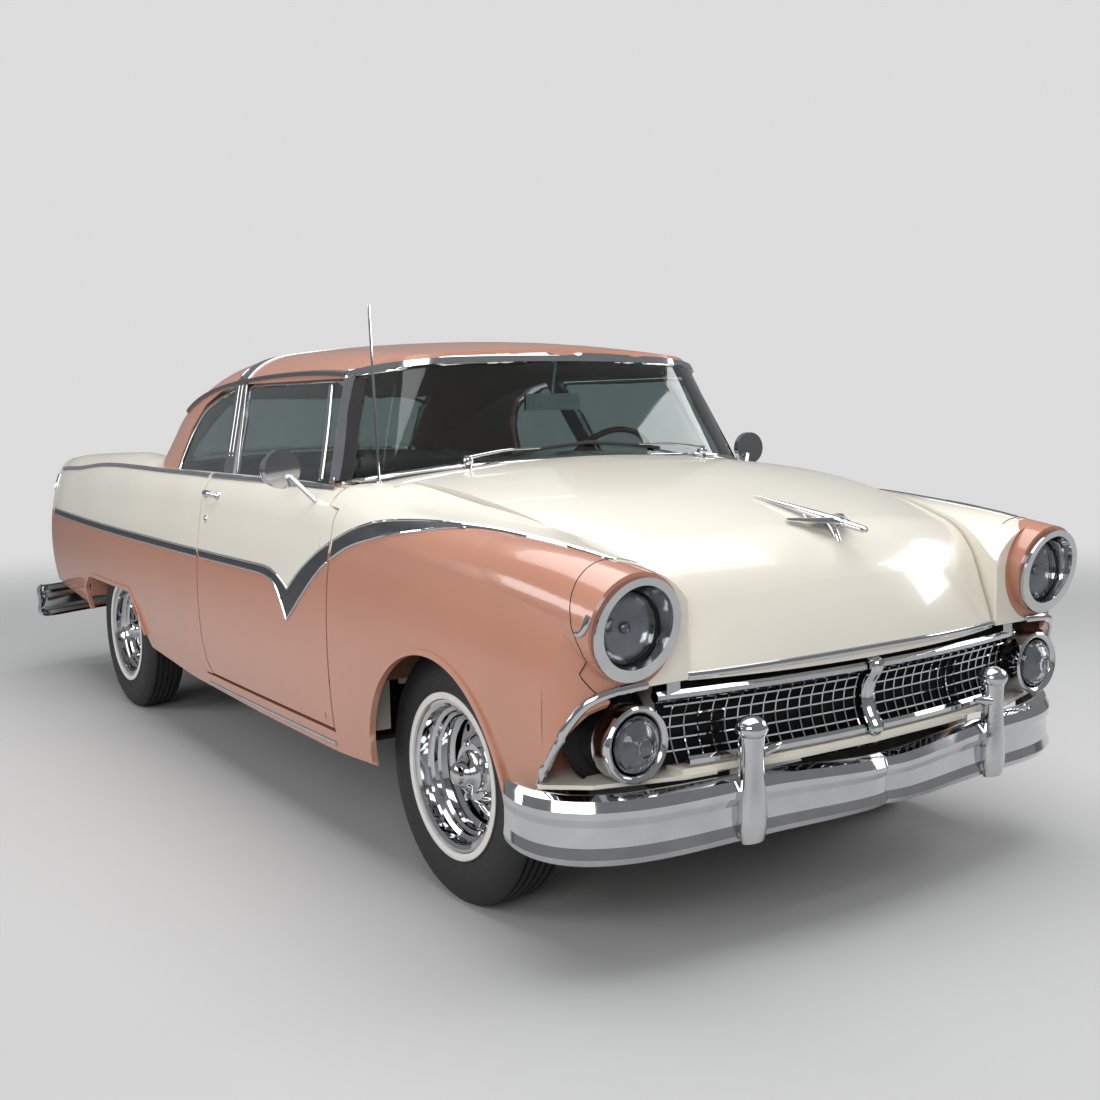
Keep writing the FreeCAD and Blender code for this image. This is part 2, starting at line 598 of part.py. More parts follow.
HOOD_HINGE = (HOOD_REAR_Y + HINGE_BACK, height_on(HOOD_MASS, 0, HOOD_REAR_Y) - HINGE_DROP)
LID_HINGE = (LID_FRONT_Y - HINGE_BACK, height_on(DECK_MASS, 0, LID_FRONT_Y) - HINGE_DROP - 9)


def side_glass(outline, belt_z):
    pane = greenhouse_solid(GLASS_INSET).common(prism_x(outline, 500, 1000))
    pane = pane.cut(greenhouse_solid(GLASS_INSET + GLASS_THICKNESS)).cut(FLANK)
    return largest_solids(pane.common(box(0, 1000, -3000, 3000, belt_z, 1600)))


def make_quarter():
    skin = FLANK.cut(FLANK_INSIDE).common(box(0, 1100, -200, 2400, 0, 1400))
    wall = FLANK.common(box(CABIN_WALL_X, 1100, -200, 560, 347, 1400))
    side = joined([skin, wall]).cut(outline_prism(DOOR_OUTLINE, PANEL_GAP / 2, 700, 1000))
    side = side.cut(box(0, 1100, -400, DOOR_REAR_Y + PANEL_GAP, 0, DOOR_BOTTOM_Z))
    side = side.cut(lid_prism(PANEL_GAP / 2)).cut(rear_arch(0))
    tub = cylinder(392, 290, V(612, REAR_AXLE_Y, AXLE_Z), V(1, 0, 0))
    tub = tub.cut(cylinder(380, 290, V(624, REAR_AXLE_Y, AXLE_Z), V(1, 0, 0)))
    tub = tub.common(box(600, 900, 700, 1700, 470, 800)).common(FLANK_INSIDE)
    side = largest_solids(side).cut(cylinder(380, 290, V(624, REAR_AXLE_Y, AXLE_Z), V(1, 0, 0)).common(FLANK_INSIDE))
    lip = rear_arch(ARCH_LIP_WIDTH).cut(rear_arch(0)).common(box(600, 1100, 600, 1700, 410, 800))
    lip = lip.common(flank_solid(-ARCH_LIP_HEIGHT)).cut(FLANK_INSIDE)
    side = largest_solids(joined([side, tub, lip]))
    save("quarter_panel_left", side)
    save("quarter_panel_right", mirrored(side))


def make_sides():
    door = make_door()
    glass = side_glass(DOOR_WINDOW, 1085)
    mirror = joined([cylinder(60, 24, V(960, -986, 1150), V(0.1, 1, 0)), cylinder(8, 110, V(880, -1040, 1050), V(0.55, 0.45, 0.7))])
    mirror = largest_solids(mirror.cut(FLANK))
    rocker = FLANK.common(box(CABIN_WALL_X, 1100, DOOR_FRONT_Y + 0.2, DOOR_REAR_Y + PANEL_GAP, 0,
                            DOOR_BOTTOM_Z - PANEL_GAP))
    pieces = [("door", door.cut(glass)), ("door_glass", glass), ("door_mirror", mirror), ("rocker", rocker)]
    for name, shape in pieces:
        save(name + "_left", shape)
        save(name + "_right", mirrored(shape))
    make_quarter()


# ---------------------------------------------------------------- roof and glass


def drip_rail():
    """Rain gutter along the left-hand edge of the roof."""
    wires = []
    for y, zc, shoulder, (x, z), belt in GREENHOUSE_SECTIONS[2:7]:
        corners = [V(x - 3, y, z - 7), V(x + 11, y, z - 9), V(x + 13, y, z + 4), V(x - 6, y, z + 9)]
        wires.append(Part.makePolygon(corners + corners[:1]))
    return loft(wires)


def make_roof():
    body = [FLANK, mirrored(FLANK), HOOD_MASS, DECK_MASS]
    opening = [(-1054, 1000), (-1046, 1060), (-921, 1424), (4, 1424), (150, 1402), (285, 1352), (371, 1262), (400, 1160), (408, 1000)]
    back = [(-560, 1150), (-600, 1100), (-600, 1000), (600, 1000), (600, 1100), (560, 1150), (470, 1380), (-470, 1380)]
    shell = GREENHOUSE.cut(WINDSHIELD_FRONT).cut(prism_x(opening, -1000, 1000))
    shell = shell.cut(prism_y(back, 540, 1200)).cut(greenhouse_solid(ROOF_THICKNESS))
    body += [hinge_post(0), mirrored(hinge_post(0))]
    for mass in body:
        shell = shell.cut(mass)
    save("roof_panel", largest_solids(shell))
    line = [V(0, y, z) for y, z in PILLAR_LINE]
    up = (line[1] - line[0]).normalize()
    half = PILLAR_WIDTH / 2
    start = line[0] - up * 100
    end = line[1] + up * 300
    outline = [(start.y - half, start.z), (start.y + half, start.z), (end.y + half, end.z), (end.y - half, end.z)]
    slot = prism_x(outline, -1000, 1000)
    cover = greenhouse_solid(-5).common(slot).cut(GREENHOUSE)
    post = GREENHOUSE.common(slot).common(prism_x(opening, -1000, 1000)).cut(greenhouse_solid(ROOF_THICKNESS))
    band = joined([cover, post])
    for mass in body:
        band = band.cut(mass)
    save("roof_band", largest_solids(band))
    rear = greenhouse_solid(GLASS_INSET).common(prism_y(back, 540, 1200))
    rear = rear.cut(greenhouse_solid(GLASS_INSET + GLASS_THICKNESS)).cut(DECK_MASS)
    save("rear_window_glass", largest_solids(rear))
    quarter = side_glass(QUARTER_WINDOW, 1085).cut(band)
    save("quarter_glass", Part.makeCompound([quarter, mirrored(quarter)]))
    glass = windshield_band(0, 1, 0, GLASS_THICKNESS)
    frame = Part.makeCompound([windshield_band(-0.02, 0, 12, 18), windshield_band(1, 1.06, 12, 18)])
    side = flank_solid(-PANEL_GAP)
    for mass in (side, mirrored(side)):
        frame = frame.cut(mass)
        glass = glass.cut(mass)
    frame = frame.cut(hinge_post(0)).cut(mirrored(hinge_post(0)))
    frame = frame.cut(shell)
    save("windshield_glass", largest_solids(glass.cut(shell)))
    save("windshield_frame", largest_solids(frame))
    rails = drip_rail().cut(GREENHOUSE).cut(band).cut(frame)
    rails = largest_solids(rails)
    save("drip_rails", Part.makeCompound([rails, mirrored(rails)]))


# ---------------------------------------------------------------- front and rear ends


def grille_bar(xs, radius, z):
    """Eight-sided bar along the grille's plan curve."""
    wires = []
    for x in xs:
        corners = []
        for k in range(9):
            turn = math.pi * (2 * k + 1) / 8
            corners.append(V(x, grille_y(x) + radius + radius * math.cos(turn), z + radius * math.sin(turn)))
        wires.append(Part.makePolygon(corners))
    return Part.makeLoft(wires, True, True)


def bumper_outline(top, bottom, bulge):
    """Rolled top, flat middle and rolled foot of the bumper's face, as (outward, height) points."""
    tall = top - bottom
    shares = [(0, 1), (0.62, 0.94), (1, 0.8), (0.98, 0.7), (0.72, 0.58), (0.78, 0.3), (1.04, 0.15), (0.72, 0.05),
              (0.1, 0)]
    return [(bulge * away, bottom + tall * up) for away, up in shares]


def bumper_face(rows, thickness):
    """Left-hand half of the bumper bar: upright sections that face outward, from the centre line to the end."""
    wires = []
    for x, y, turn, top, bottom, bulge in rows:
        out = V(math.sin(math.radians(turn)), -math.cos(math.radians(turn)), 0)
        outer = [V(x, y, z) + out * away for away, z in bumper_outline(top, bottom, bulge)]
        inner = [point - out * thickness for point in reversed(outer)]
        wires.append(Part.makePolygon(outer + inner + outer[:1]))
    return loft(wires)


def bumper(rows, bracket_end):
    """A whole front bumper, peaked at the middle, with its guards and brackets."""
    half = bumper_face(rows, BUMPER_THICKNESS)
    pieces = [half, mirrored(half)]
    for hand in (-1, 1):
        x = hand * BUMPER_BRACKET_X
        pieces.append(guard(hand * GUARD_X))
        pieces.append(box(x - 20, x + 20, -2474, bracket_end, 345, 410))
    return largest_solids(joined(pieces))


def guard(x):
    """Upright bumper guard: a waisted bar under an oval cap."""
    wires = []
    for z, y, half_x, half_y in GUARD_SECTIONS:
        oval = Part.Ellipse(V(x, y, z), half_x, half_y)
        wires.append(Part.Wire(oval.toShape()))
    cap = Part.makeSphere(30, V(0, 0, 0)).transformGeometry(FreeCAD.Matrix(1.4, 0, 0, 0, 0, 1.25, 0, 0, 0, 0, 1, 0))
    cap = cap.translated(V(x, GUARD_CAP_Y, GUARD_CAP_Z))
    base = box(x - 26, x + 26, GUARD_CAP_Y + 12, -2466, 330, 552)
    return joined([loft(wires), cap, base])


# a guard's sections: height, middle y, half width, half depth
GUARD_SECTIONS = [(292, -2488, 34, 16), (350, -2488, 40, 27), (430, -2487, 33, 26), (510, -2486, 30, 25),
                  (568, -2484, 38, 26)]
GUARD_CAP_Y = -2483.5
GUARD_CAP_Z = 566.0
BUMPER_THICKNESS = 7.0
BUMPER_BRACKET_X = 410.0
GUARD_X = 450.0
FRONT_BUMPER = [
    # x, y, turn from straight ahead in degrees, top, bottom, bulge
    (0, -2480, 0, 430, 294, 28),
    (300, -2470, 4, 446, 290, 28),
    (600, -2440, 11, 450, 284, 30),
    (820, -2372, 28, 446, 278, 30),
    (916, -2290, 60, 452, 288, 26),
    (952, -2196, 84, 468, 318, 12),
]
GRILLE_HALF_WIDTH = 662.0
GRILLE_TOP_Z = 652.0
GRILLE_BOTTOM_Z = 490.0
GRILLE_BAR_RADIUS = 14.0
GRILLE_ROWS = 5
GRILLE_PITCH = 38.0            # between the upright bars
GRILLE_WIRE = 4.0
GRILLE_HOLLOW = 28.0           # how far the middle of the crate is set back


def grille_y(x):
    """The grille's plan curve, swept back towards the lamps."""
    return -2462 + 62 * (x / GRILLE_HALF_WIDTH) ** 2


def curved_strip(half_width, shift, depth, z0, z1):
    """Flat strip that follows the grille's plan curve."""
    xs = [half_width * k / 8 for k in range(-8, 9)]
    front = [(x, grille_y(x) + shift) for x in xs]
    rear = [(x, grille_y(x) + shift + depth) for x in reversed(xs)]
    return prism_z(front + rear, z0, z1)


def crate_depth(z):
    """How far the crate lies behind the bars at a height."""
    middle = (GRILLE_TOP_Z + GRILLE_BOTTOM_Z) / 2
    half = (GRILLE_TOP_Z - GRILLE_BOTTOM_Z) / 2
    return 8 + GRILLE_HOLLOW * (1 - ((z - middle) / half) ** 2)


def make_grille():
    pieces = []
    span = GRILLE_TOP_Z - GRILLE_BOTTOM_Z
    heights = [GRILLE_BOTTOM_Z + span * k / (GRILLE_ROWS + 1) for k in range(GRILLE_ROWS + 2)]
    for z in heights[1:-1]:
        shift = crate_depth(z)
        pieces.append(curved_strip(GRILLE_HALF_WIDTH - 30, shift, 10, z - GRILLE_WIRE / 2, z + GRILLE_WIRE / 2))
    count = int((GRILLE_HALF_WIDTH - 34) / GRILLE_PITCH)
    for k in range(-count, count + 1):
        x = k * GRILLE_PITCH
        face = [(grille_y(x) + crate_depth(z), z) for z in heights]
        back = [(y + 10, z) for y, z in reversed(face)]
        pieces.append(prism_x(face + back, x - GRILLE_WIRE / 2, x + GRILLE_WIRE / 2))
    xs = [GRILLE_HALF_WIDTH * k / 8 for k in range(-8, 9)]
    for z in (GRILLE_TOP_Z, GRILLE_BOTTOM_Z):
        ends = xs if z == GRILLE_TOP_Z else xs[1:-1]
        pieces.append(grille_bar(ends, GRILLE_BAR_RADIUS, z))
    for hand in (-1, 1):
        pieces.append(box(hand * 620 - 20, hand * 620 + 20, -2404, -2350, GRILLE_TOP_Z - 4, SURROUND_TOP_Z - 0.2))
    whole = joined(pieces)
    for hand in (-1, 1):
        place = V(hand * PARK_LAMP_X, -2600, PARK_LAMP_Z)
        whole = whole.cut(cylinder(PARK_LAMP_RADIUS + 0.2, 400, place, V(0, 1, 0)))
    save("grille", largest_solids(whole))


def make_front_end():
    save("front_bumper", bumper(FRONT_BUMPER, -2420.2))
    save("rear_bumper", bumper(FRONT_BUMPER, -2316.0).mirror(V(0, 0, 0), V(0, 1, 0)))
    make_grille()
    low = GRILLE_BOTTOM_Z - GRILLE_BAR_RADIUS
    front = [(x, y + 18) for x, y, turn, top, bottom, bulge in FRONT_BUMPER[:-1]] + [(902, -2246)]
    front = [(-x, y) for x, y in front[:0:-1]] + front
    pan = prism_z(front + [(890, -2200), (-890, -2200)], 454, 464)
    for hand in (-1, 1):
        pan = pan.cut(box(hand * 450 - 60, hand * 450 + 60, -2600, -2420, 400, 500))
    strip = curved_strip(GRILLE_HALF_WIDTH - 62, 0, 60, 460, low - 0.2)
    feet = [box(hand * 410 - 20, hand * 410 + 20, -2416, -2386, 420.2, 460) for hand in (-1, 1)]
    apron = joined([pan, strip] + feet)
    for fender in (FENDER, mirrored(FENDER)):
        apron = apron.cut(fender)
    save("front_apron", apron)
    centre = V(HEADLAMP_X, HEADLAMP_FACE_Y, HEADLAMP_Z)
    ring = cylinder(HEADLAMP_RING_RADIUS, 90, centre + V(0, -76, 0), V(0, 1, 0))
    mouth = Part.makeCone(HEADLAMP_RADIUS + 14, HEADLAMP_RADIUS - 8, 76, centre + V(0, -76, 0), V(0, 1, 0))
    ring = ring.cut(mouth).cut(cylinder(HEADLAMP_RADIUS - 8, 60, centre, V(0, 1, 0)))
    slant = [(-2500, 1000), (HEADLAMP_FACE_Y - HEADLAMP_HOOD, 960), (HEADLAMP_FACE_Y - 6, 690), (-2500, 690)]
    ring = ring.cut(prism_x(slant, 500, 1000)).cut(box(500, 1000, -2400, -2000, 600, 1000))
    lens = cylinder(HEADLAMP_RADIUS - 8, 60, V(HEADLAMP_X, HEADLAMP_FACE_Y, HEADLAMP_Z), V(0, 1, 0))
    park = Part.makeCone(58, PARK_LAMP_RADIUS, 160, V(PARK_LAMP_X, PARK_LAMP_FACE_Y + 170, PARK_LAMP_Z), V(0, -1, 0))
    park = park.fuse(cylinder(30, 60, V(PARK_LAMP_X, -2196.2, PARK_LAMP_Z), V(0, -1, 0)))
    cone = Part.makeCone(PARK_LAMP_RADIUS - 20, 22, 50, V(PARK_LAMP_X, PARK_LAMP_FACE_Y + 10, PARK_LAMP_Z), V(0, -1, 0))
    for name, shape in (("headlamp_rings", ring), ("headlamp_lenses", lens), ("parking_lamps", joined([park, cone]))):
        shape = largest_solids(shape)
        save(name, Part.makeCompound([shape, mirrored(shape)]))


def make_tail():
    ring = cylinder(74, 60, V(722, 2322, 790), V(0, 1, 0)).cut(cylinder(60, 60, V(722, 2322, 790), V(0, 1, 0)))
    ring = ring.cut(FLANK)
    lens = cylinder(60, 50, V(722, 2330, 790), V(0, 1, 0))
    for name, shape in (("tail_lamp_rings", ring), ("tail_lamp_lenses", lens)):
        shape = largest_solids(shape)
        save(name, Part.makeCompound([shape, mirrored(shape)]))


# ---------------------------------------------------------------- floor, frame and running gear


RAIL_OUTLINE = [(-2420, 330), (-2420, 420), (-1560, 420), (-1420, 322), (700, 322), (860, 500), (1560, 500),
                (1700, 440), (2315.8, 440), (2315.8, 350), (1720, 350), (1540, 410), (900, 410), (740, 222),
                (-1440, 222), (-1600, 330)]
RAIL_INNER_X = 370.0
RAIL_OUTER_X = 450.0
FLOOR_Z = 335.0
FLOOR_THICKNESS = 12.0
PIPE_X = -260.0
PIPE_Z = 272.0
PIPE_RADIUS = 25.0


def make_frame():
    left = prism_x(RAIL_OUTLINE, RAIL_INNER_X, RAIL_OUTER_X)
    pieces = [left, mirrored(left)]
    for y0, y1, z0, z1 in ((-2420, -2360, 340, 410), (-1800, -1660, 340, 400), (-1200, -1120, 230, 310),
                           (200, 280, 230, 310), (860, 920, 420, 490), (2250, 2310, 360, 430)):
        pieces.append(box(-RAIL_INNER_X, RAIL_INNER_X, y0, y1, z0, z1))
    for hand in (-1, 1):
        for y in (-1160, 240):
            pieces.append(box(hand * 410 - 30, hand * 410 + 30, y - 30, y + 30, 322, FLOOR_Z))
        for y, z in ((1000, 500), (2200, 440)):
            pieces.append(box(hand * 410 - 30, hand * 410 + 30, y - 30, y + 30, z, 520))
        x0, x1 = sorted((hand * RAIL_OUTER_X, hand * 610))
        for y0, y1, z0, z1 in ((520, 561.8, 300, 322), (1808.2, 1850, 300, 420)):
            pieces.append(box(x0, x1, y0, y1, z0, z1))
    frame = joined(pieces)
    frame = frame.cut(cylinder(PIPE_RADIUS + 0.3, 6000, V(PIPE_X, -3000, PIPE_Z), V(0, 1, 0)))
    save("chassis_frame", frame)


def tunnel_prism(inset, y0, y1):
    """Hump over the propeller shaft, or the hollow under it."""
    low = FLOOR_Z - (20 if inset else 0)
    top = 430 - inset
    return prism_y([(-140 + inset, low), (-112 + inset, top), (112 - inset, top), (140 - inset, low)], y0, y1)


def make_floor():
    top = FLOOR_Z + FLOOR_THICKNESS
    front = [(-1236, FLOOR_Z), (560, FLOOR_Z), (640, 520), (2316, 520), (2316, 532), (630, 532), (552, top), (-1236, top)]
    narrow = prism_x(front, -612, 612)
    wide = prism_x([(-1236, FLOOR_Z), (560, FLOOR_Z), (552, top), (-1236, top)], -CABIN_WALL_X, CABIN_WALL_X)
    floor = joined([narrow, wide])
    floor = joined([floor, tunnel_prism(0, -1236, 640)]).cut(tunnel_prism(FLOOR_THICKNESS, -1300, 660))
    save("floor_pan", largest_solids(floor))


def make_wheels():
    def tyre_profile():
        half = TYRE_WIDTH / 2
        seat = RIM_WIDTH / 2 - 12
        tread = TREAD_WIDTH / 2
        low = RIM_FLANGE_RADIUS + 4
        pts = [V(-seat - 4, 0, low), V(-half, 0, 262), V(-tread, 0, TYRE_RADIUS - 8), V(0, 0, TYRE_RADIUS),
               V(tread, 0, TYRE_RADIUS - 8), V(half, 0, 262), V(seat + 4, 0, low)]
        shoulder = Part.Arc(pts[1], V(-tread - 18, 0, 318), pts[2]).toShape()
        other = Part.Arc(pts[4], V(tread + 18, 0, 318), pts[5]).toShape()
        crown = Part.Arc(pts[2], pts[3], pts[4]).toShape()
        wall = Part.Arc(pts[0], V(-half + 5, 0, 230), pts[1]).toShape()
        wall2 = Part.Arc(pts[5], V(half - 5, 0, 230), pts[6]).toShape()
        bead = RIM_SEAT_RADIUS + 0.2
        inside = [pts[6], V(seat, 0, bead), V(seat - 14, 0, bead), V(half - 16, 0, 262),
                  V(tread - 6, 0, TYRE_RADIUS - 24), V(-tread + 6, 0, TYRE_RADIUS - 24), V(-half + 16, 0, 262),
                  V(-seat + 14, 0, bead), V(-seat, 0, bead), pts[0]]
        return wire_of([wall, shoulder, crown, other, wall2] + polyline(inside))

    def rim_profile():
        half = RIM_WIDTH / 2
        pts = [(-half, 205), (-half, 197), (-half + 5, 186), (-20, 184), (-4, 176), (20, 176), (32, 184), (half - 5, 186),
               (half, 197), (half, 205), (half - 5, 205), (half - 6, 198), (half - 10, 190), (30, 190), (20, 182), (-2, 182),
               (-20, 190), (-half + 10, 190), (-half + 6, 198), (-half + 5, 205)]
        return Part.makePolygon([V(x, 0, z) for x, z in pts + [pts[0]]])

    tyre = Part.Face(tyre_profile()).revolve(V(0, 0, 0), V(1, 0, 0), 360)
    barrel = Part.Face(rim_profile()).revolve(V(0, 0, 0), V(1, 0, 0), 360)
    dish = [(6, 180), (-20, 150), (-8, 96), (14, 78), (14, 0), (6, 0), (6, 72), (-16, 90), (-28, 150), (-4, 182)]
    disc = Part.Face(Part.makePolygon([V(x, 0, z) for x, z in dish + [dish[0]]])).revolve(V(0, 0, 0), V(1, 0, 0), 360)
    cap = Part.makeCone(52, 14, 60, V(14, 0, 0), V(1, 0, 0))
    for k in range(WHEEL_HOLES):
        angle = 2 * math.pi * k / WHEEL_HOLES
        place = V(-60, WHEEL_HOLE_CIRCLE * math.cos(angle), WHEEL_HOLE_CIRCLE * math.sin(angle))
        disc = disc.cut(cylinder(WHEEL_HOLE_RADIUS, 90, place, V(1, 0, 0)))
    wheel = joined([barrel, disc, cap])
    places = (("front", FRONT_WHEEL_X, FRONT_AXLE_Y), ("rear", REAR_WHEEL_X, REAR_AXLE_Y))
    for name, x, y in places:
        for piece, shape in (("tyre", tyre), ("rim", wheel)):
            placed = shape.translated(V(x, y, AXLE_Z))
            if piece == "rim":
                placed = placed.cut(cylinder(SPINDLE_RADIUS + SPINDLE_CLEARANCE, 60, V(x - 50, y, AXLE_Z), V(1, 0, 0)))
            save(piece + "_" + name + "_left", placed)
            save(piece + "_" + name + "_right", mirrored(placed))


SPINDLE_RADIUS = 16.0
SPINDLE_CLEARANCE = 0.05


def make_running_gear():
    x0 = KINGPIN_X
    post = cylinder(SPINDLE_RADIUS, 290, V(x0, FRONT_AXLE_Y, 210), V(0, 0, 1))
    body = cylinder(34, 110, V(x0, FRONT_AXLE_Y, AXLE_Z - 55), V(0, 0, 1))
    spindle = cylinder(SPINDLE_RADIUS, FRONT_WHEEL_X + 8 - x0, V(x0, FRONT_AXLE_Y, AXLE_Z), V(1, 0, 0))
    drum = cylinder(138, 46, V(x0 + 40, FRONT_AXLE_Y, AXLE_Z), V(1, 0, 0))
    knuckle = joined([post, body, spindle, drum])
    save("knuckle_left", knuckle)
    save("knuckle_right", mirrored(knuckle))
    arms = []
    for z, reach in ((228, 250), (448, 330)):
        eye = cylinder(32, 26, V(x0, FRONT_AXLE_Y, z), V(0, 0, 1))
        arm = prism_z([(x0, FRONT_AXLE_Y - 24), (RAIL_OUTER_X, FRONT_AXLE_Y - 120), (RAIL_OUTER_X, FRONT_AXLE_Y + 120),
                       (x0, FRONT_AXLE_Y + 24)], z, z + 26)
        arm = joined([arm, eye]).cut(cylinder(SPINDLE_RADIUS + SPINDLE_CLEARANCE, 60, V(x0, FRONT_AXLE_Y, z - 10), V(0, 0, 1)))
        arms.append(arm)
    tie = box(RAIL_OUTER_X, RAIL_OUTER_X + 20, FRONT_AXLE_Y - 120, FRONT_AXLE_Y + 120, 228, 474)
    side = joined(arms + [tie])
    save("front_suspension", Part.makeCompound([side, mirrored(side)]))
    tube = cylinder(38, 1300, V(-650, REAR_AXLE_Y, AXLE_Z), V(1, 0, 0))
    shaft = cylinder(SPINDLE_RADIUS, 2 * REAR_WHEEL_X + 16, V(-REAR_WHEEL_X - 8, REAR_AXLE_Y, AXLE_Z), V(1, 0, 0))
    ball = Part.makeSphere(128, V(0, REAR_AXLE_Y, AXLE_Z))
    drums = [cylinder(138, 46, V(x, REAR_AXLE_Y, AXLE_Z), V(1, 0, 0)) for x in (x0 + 25, -x0 - 71)]
    prop = cylinder(34, 2580, V(0, -1480, 352), V(0, 1, 0))
    pieces = [tube, shaft, ball, prop] + drums
    spring = [(562, 312), (1196, 280), (1808, 312), (1808, 324), (1196, 318), (562, 324)]
    for hand in (-1, 1):
        a, b = sorted((hand * 560, hand * 606))
        pieces.append(prism_x(spring, a, b))
    save("rear_axle", joined(pieces))
    pipe = cylinder(PIPE_RADIUS, 3700, V(PIPE_X, -1250, PIPE_Z), V(0, 1, 0))
    pipe = joined([pipe, box(PIPE_X - 80, PIPE_X + 80, -700, -150, PIPE_Z - 55, PIPE_Z + 55)])
    save("exhaust_pipe", pipe)
    save("engine_block", box(-240, 240, -2150, -1480, 400.2, 900))
    save("radiator", box(-400, 400, -2300, -2240, 464.2, 880))
    save("fuel_tank", box(-330, 330, 1780, 2220, 330, 519.8))


# ---------------------------------------------------------------- cabin


def make_cabin():
    dash = prism_x([(-1236, 900), (-1236, 1050), (-1060, 1060), (-990, 1000), (-1010, 900), (-1080, 850)], -POST_INNER_X, POST_INNER_X)
    axis = V(0, math.cos(math.radians(COLUMN_ANGLE)), math.sin(math.radians(COLUMN_ANGLE)))
    hub = V(STEERING_X, STEERING_Y, STEERING_Z)
    column = cylinder(24, 330, hub - axis * 380, axis)
    bore = cylinder(12.05, 340, hub - axis * 381, axis)
    save("dashboard", joined([dash, column]).cut(bore))
    ring = Part.makeTorus(215, 11, hub, axis)
    shaft = cylinder(12, 200, hub - axis * 180, axis)
    boss = cylinder(34, 46, hub - axis * 44, axis)
    spokes = cylinder(9, 430, hub - V(215, 0, 0), V(1, 0, 0))
    save("steering_wheel", joined([ring, shaft, boss, spokes]))
    base = [box(x, x + 360, -600, -160, 347.2, 432) for x in (-660, 300)]
    front = joined([box(-700, 700, -640, -110, 432, 660),
                    prism_x([(-190, 560), (-90, 1010), (-10, 1010), (-60, 432), (-190, 432)], -700, 700)] + base)
    save("front_seat", front)
    rear = joined([box(-600, 600, 200, 640, 532.2, 680), prism_x([(560, 660), (664, 1072), (744, 1072), (744, 532.2), (600, 532.2)], -600, 600)])
    save("rear_seat", rear)
    foot = V(ANTENNA_X, ANTENNA_Y, ANTENNA_Z)
    corners = []
    for k in range(9):
        turn = 2 * math.pi * k / 8
        corners.append(foot + V(ANTENNA_RADIUS * math.cos(turn), ANTENNA_RADIUS * math.sin(turn), 0))
    mast = Part.Face(Part.makePolygon(corners)).extrude(V(-17, 0, ANTENNA_LENGTH))
    base = Part.makeCone(20, 8, 44, foot - V(0, 0, 12), V(0, 0, 1))
    base = base.cut(mirrored(FLANK)).cut(HOOD_MASS).cut(mirrored(hinge_post(0))).cut(mirrored(FENDER))
    save("antenna", largest_solids(joined([mast.common(box(-900, -700, -1300, -1100, ANTENNA_Z + 28, 1700)), base])))
    wipers = []
    for x in (-473, 473):
        pivot = cylinder(12, 40, V(x, -1262, height_on(HOOD_MASS, x, -1262) - 4), V(0, 0, 1))
        wipers.append(largest_solids(pivot.cut(HOOD_MASS)))
    save("wipers", Part.makeCompound(wipers))
    stem = cylinder(5, 200, V(0, -1034, 1360), V(0, -0.2, 1))
    mirror = joined([box(-110, 110, -1040, -1028, 1310, 1366), stem])
    save("cabin_mirror", mirror.common(greenhouse_solid(ROOF_THICKNESS)))


ANTENNA_X = -744.0
ANTENNA_Y = -1196.0
ANTENNA_Z = 1078.0
ANTENNA_RADIUS = 4.0
ANTENNA_LENGTH = 552.0
STEERING_X = 380.0
STEERING_Y = -822.0
STEERING_Z = 1040.0
COLUMN_ANGLE = 25.0

make_hood()
make_lid()
make_cowl()
FENDER = make_fender()
make_sides()
make_roof()
make_front_end()
make_tail()
make_frame()
make_floor()
make_wheels()
make_running_gear()
make_cabin()
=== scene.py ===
"""A mid-1950s two-door hardtop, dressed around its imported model: paint, chrome, glass, tyres and trim."""

import logging
import math
from dataclasses import dataclass
from enum import Enum
from typing import Callable, Iterable, Optional, Sequence

import bmesh
import bpy
from mathutils import Matrix, Vector
from mathutils.bvhtree import BVHTree


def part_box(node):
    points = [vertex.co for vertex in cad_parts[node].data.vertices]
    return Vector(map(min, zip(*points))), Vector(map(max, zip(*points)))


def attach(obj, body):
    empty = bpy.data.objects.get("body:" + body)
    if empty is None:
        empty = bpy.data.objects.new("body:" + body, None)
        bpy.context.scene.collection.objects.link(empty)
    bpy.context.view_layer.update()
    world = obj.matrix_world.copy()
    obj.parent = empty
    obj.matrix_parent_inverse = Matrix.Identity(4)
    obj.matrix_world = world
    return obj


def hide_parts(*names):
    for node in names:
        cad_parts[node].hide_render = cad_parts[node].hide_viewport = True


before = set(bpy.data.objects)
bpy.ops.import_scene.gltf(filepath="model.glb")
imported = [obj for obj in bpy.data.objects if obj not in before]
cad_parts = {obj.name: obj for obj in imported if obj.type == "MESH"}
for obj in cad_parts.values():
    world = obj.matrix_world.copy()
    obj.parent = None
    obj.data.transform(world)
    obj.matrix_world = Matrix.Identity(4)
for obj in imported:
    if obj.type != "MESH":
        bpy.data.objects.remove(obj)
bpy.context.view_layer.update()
log = logging.getLogger("hardtop")

Colour = tuple[float, float, float]
Point = Sequence[float]
Pairs = Sequence[tuple[float, float]]
Run = tuple[Sequence[Vector], Sequence[Vector]]
Mesh = bmesh.types.BMesh
Socket = bpy.types.NodeSocket

FORWARD, UP = (0, -1, 0), (0, 0, 1)

# places in metres on the car's left-hand side; LEAN and SLOPE are metres a metre
LAMP_X, LAMP_Z = 0.754, 0.827
POD_SEAM_Y, POD_SEAM_Z, POD_SEAM_LEAN = -2.345, 0.956, -0.234
DOOR_INNER_X = 0.802
ORNAMENT_TAIL_Y, ORNAMENT_TAIL_Z, ORNAMENT_SLOPE = -2.018, 1.0675, 0.1705

# one turn as the patterns count it, and how far before a place a ray starts
PATTERN_TURN = 6.283
RAY_START = 1.5


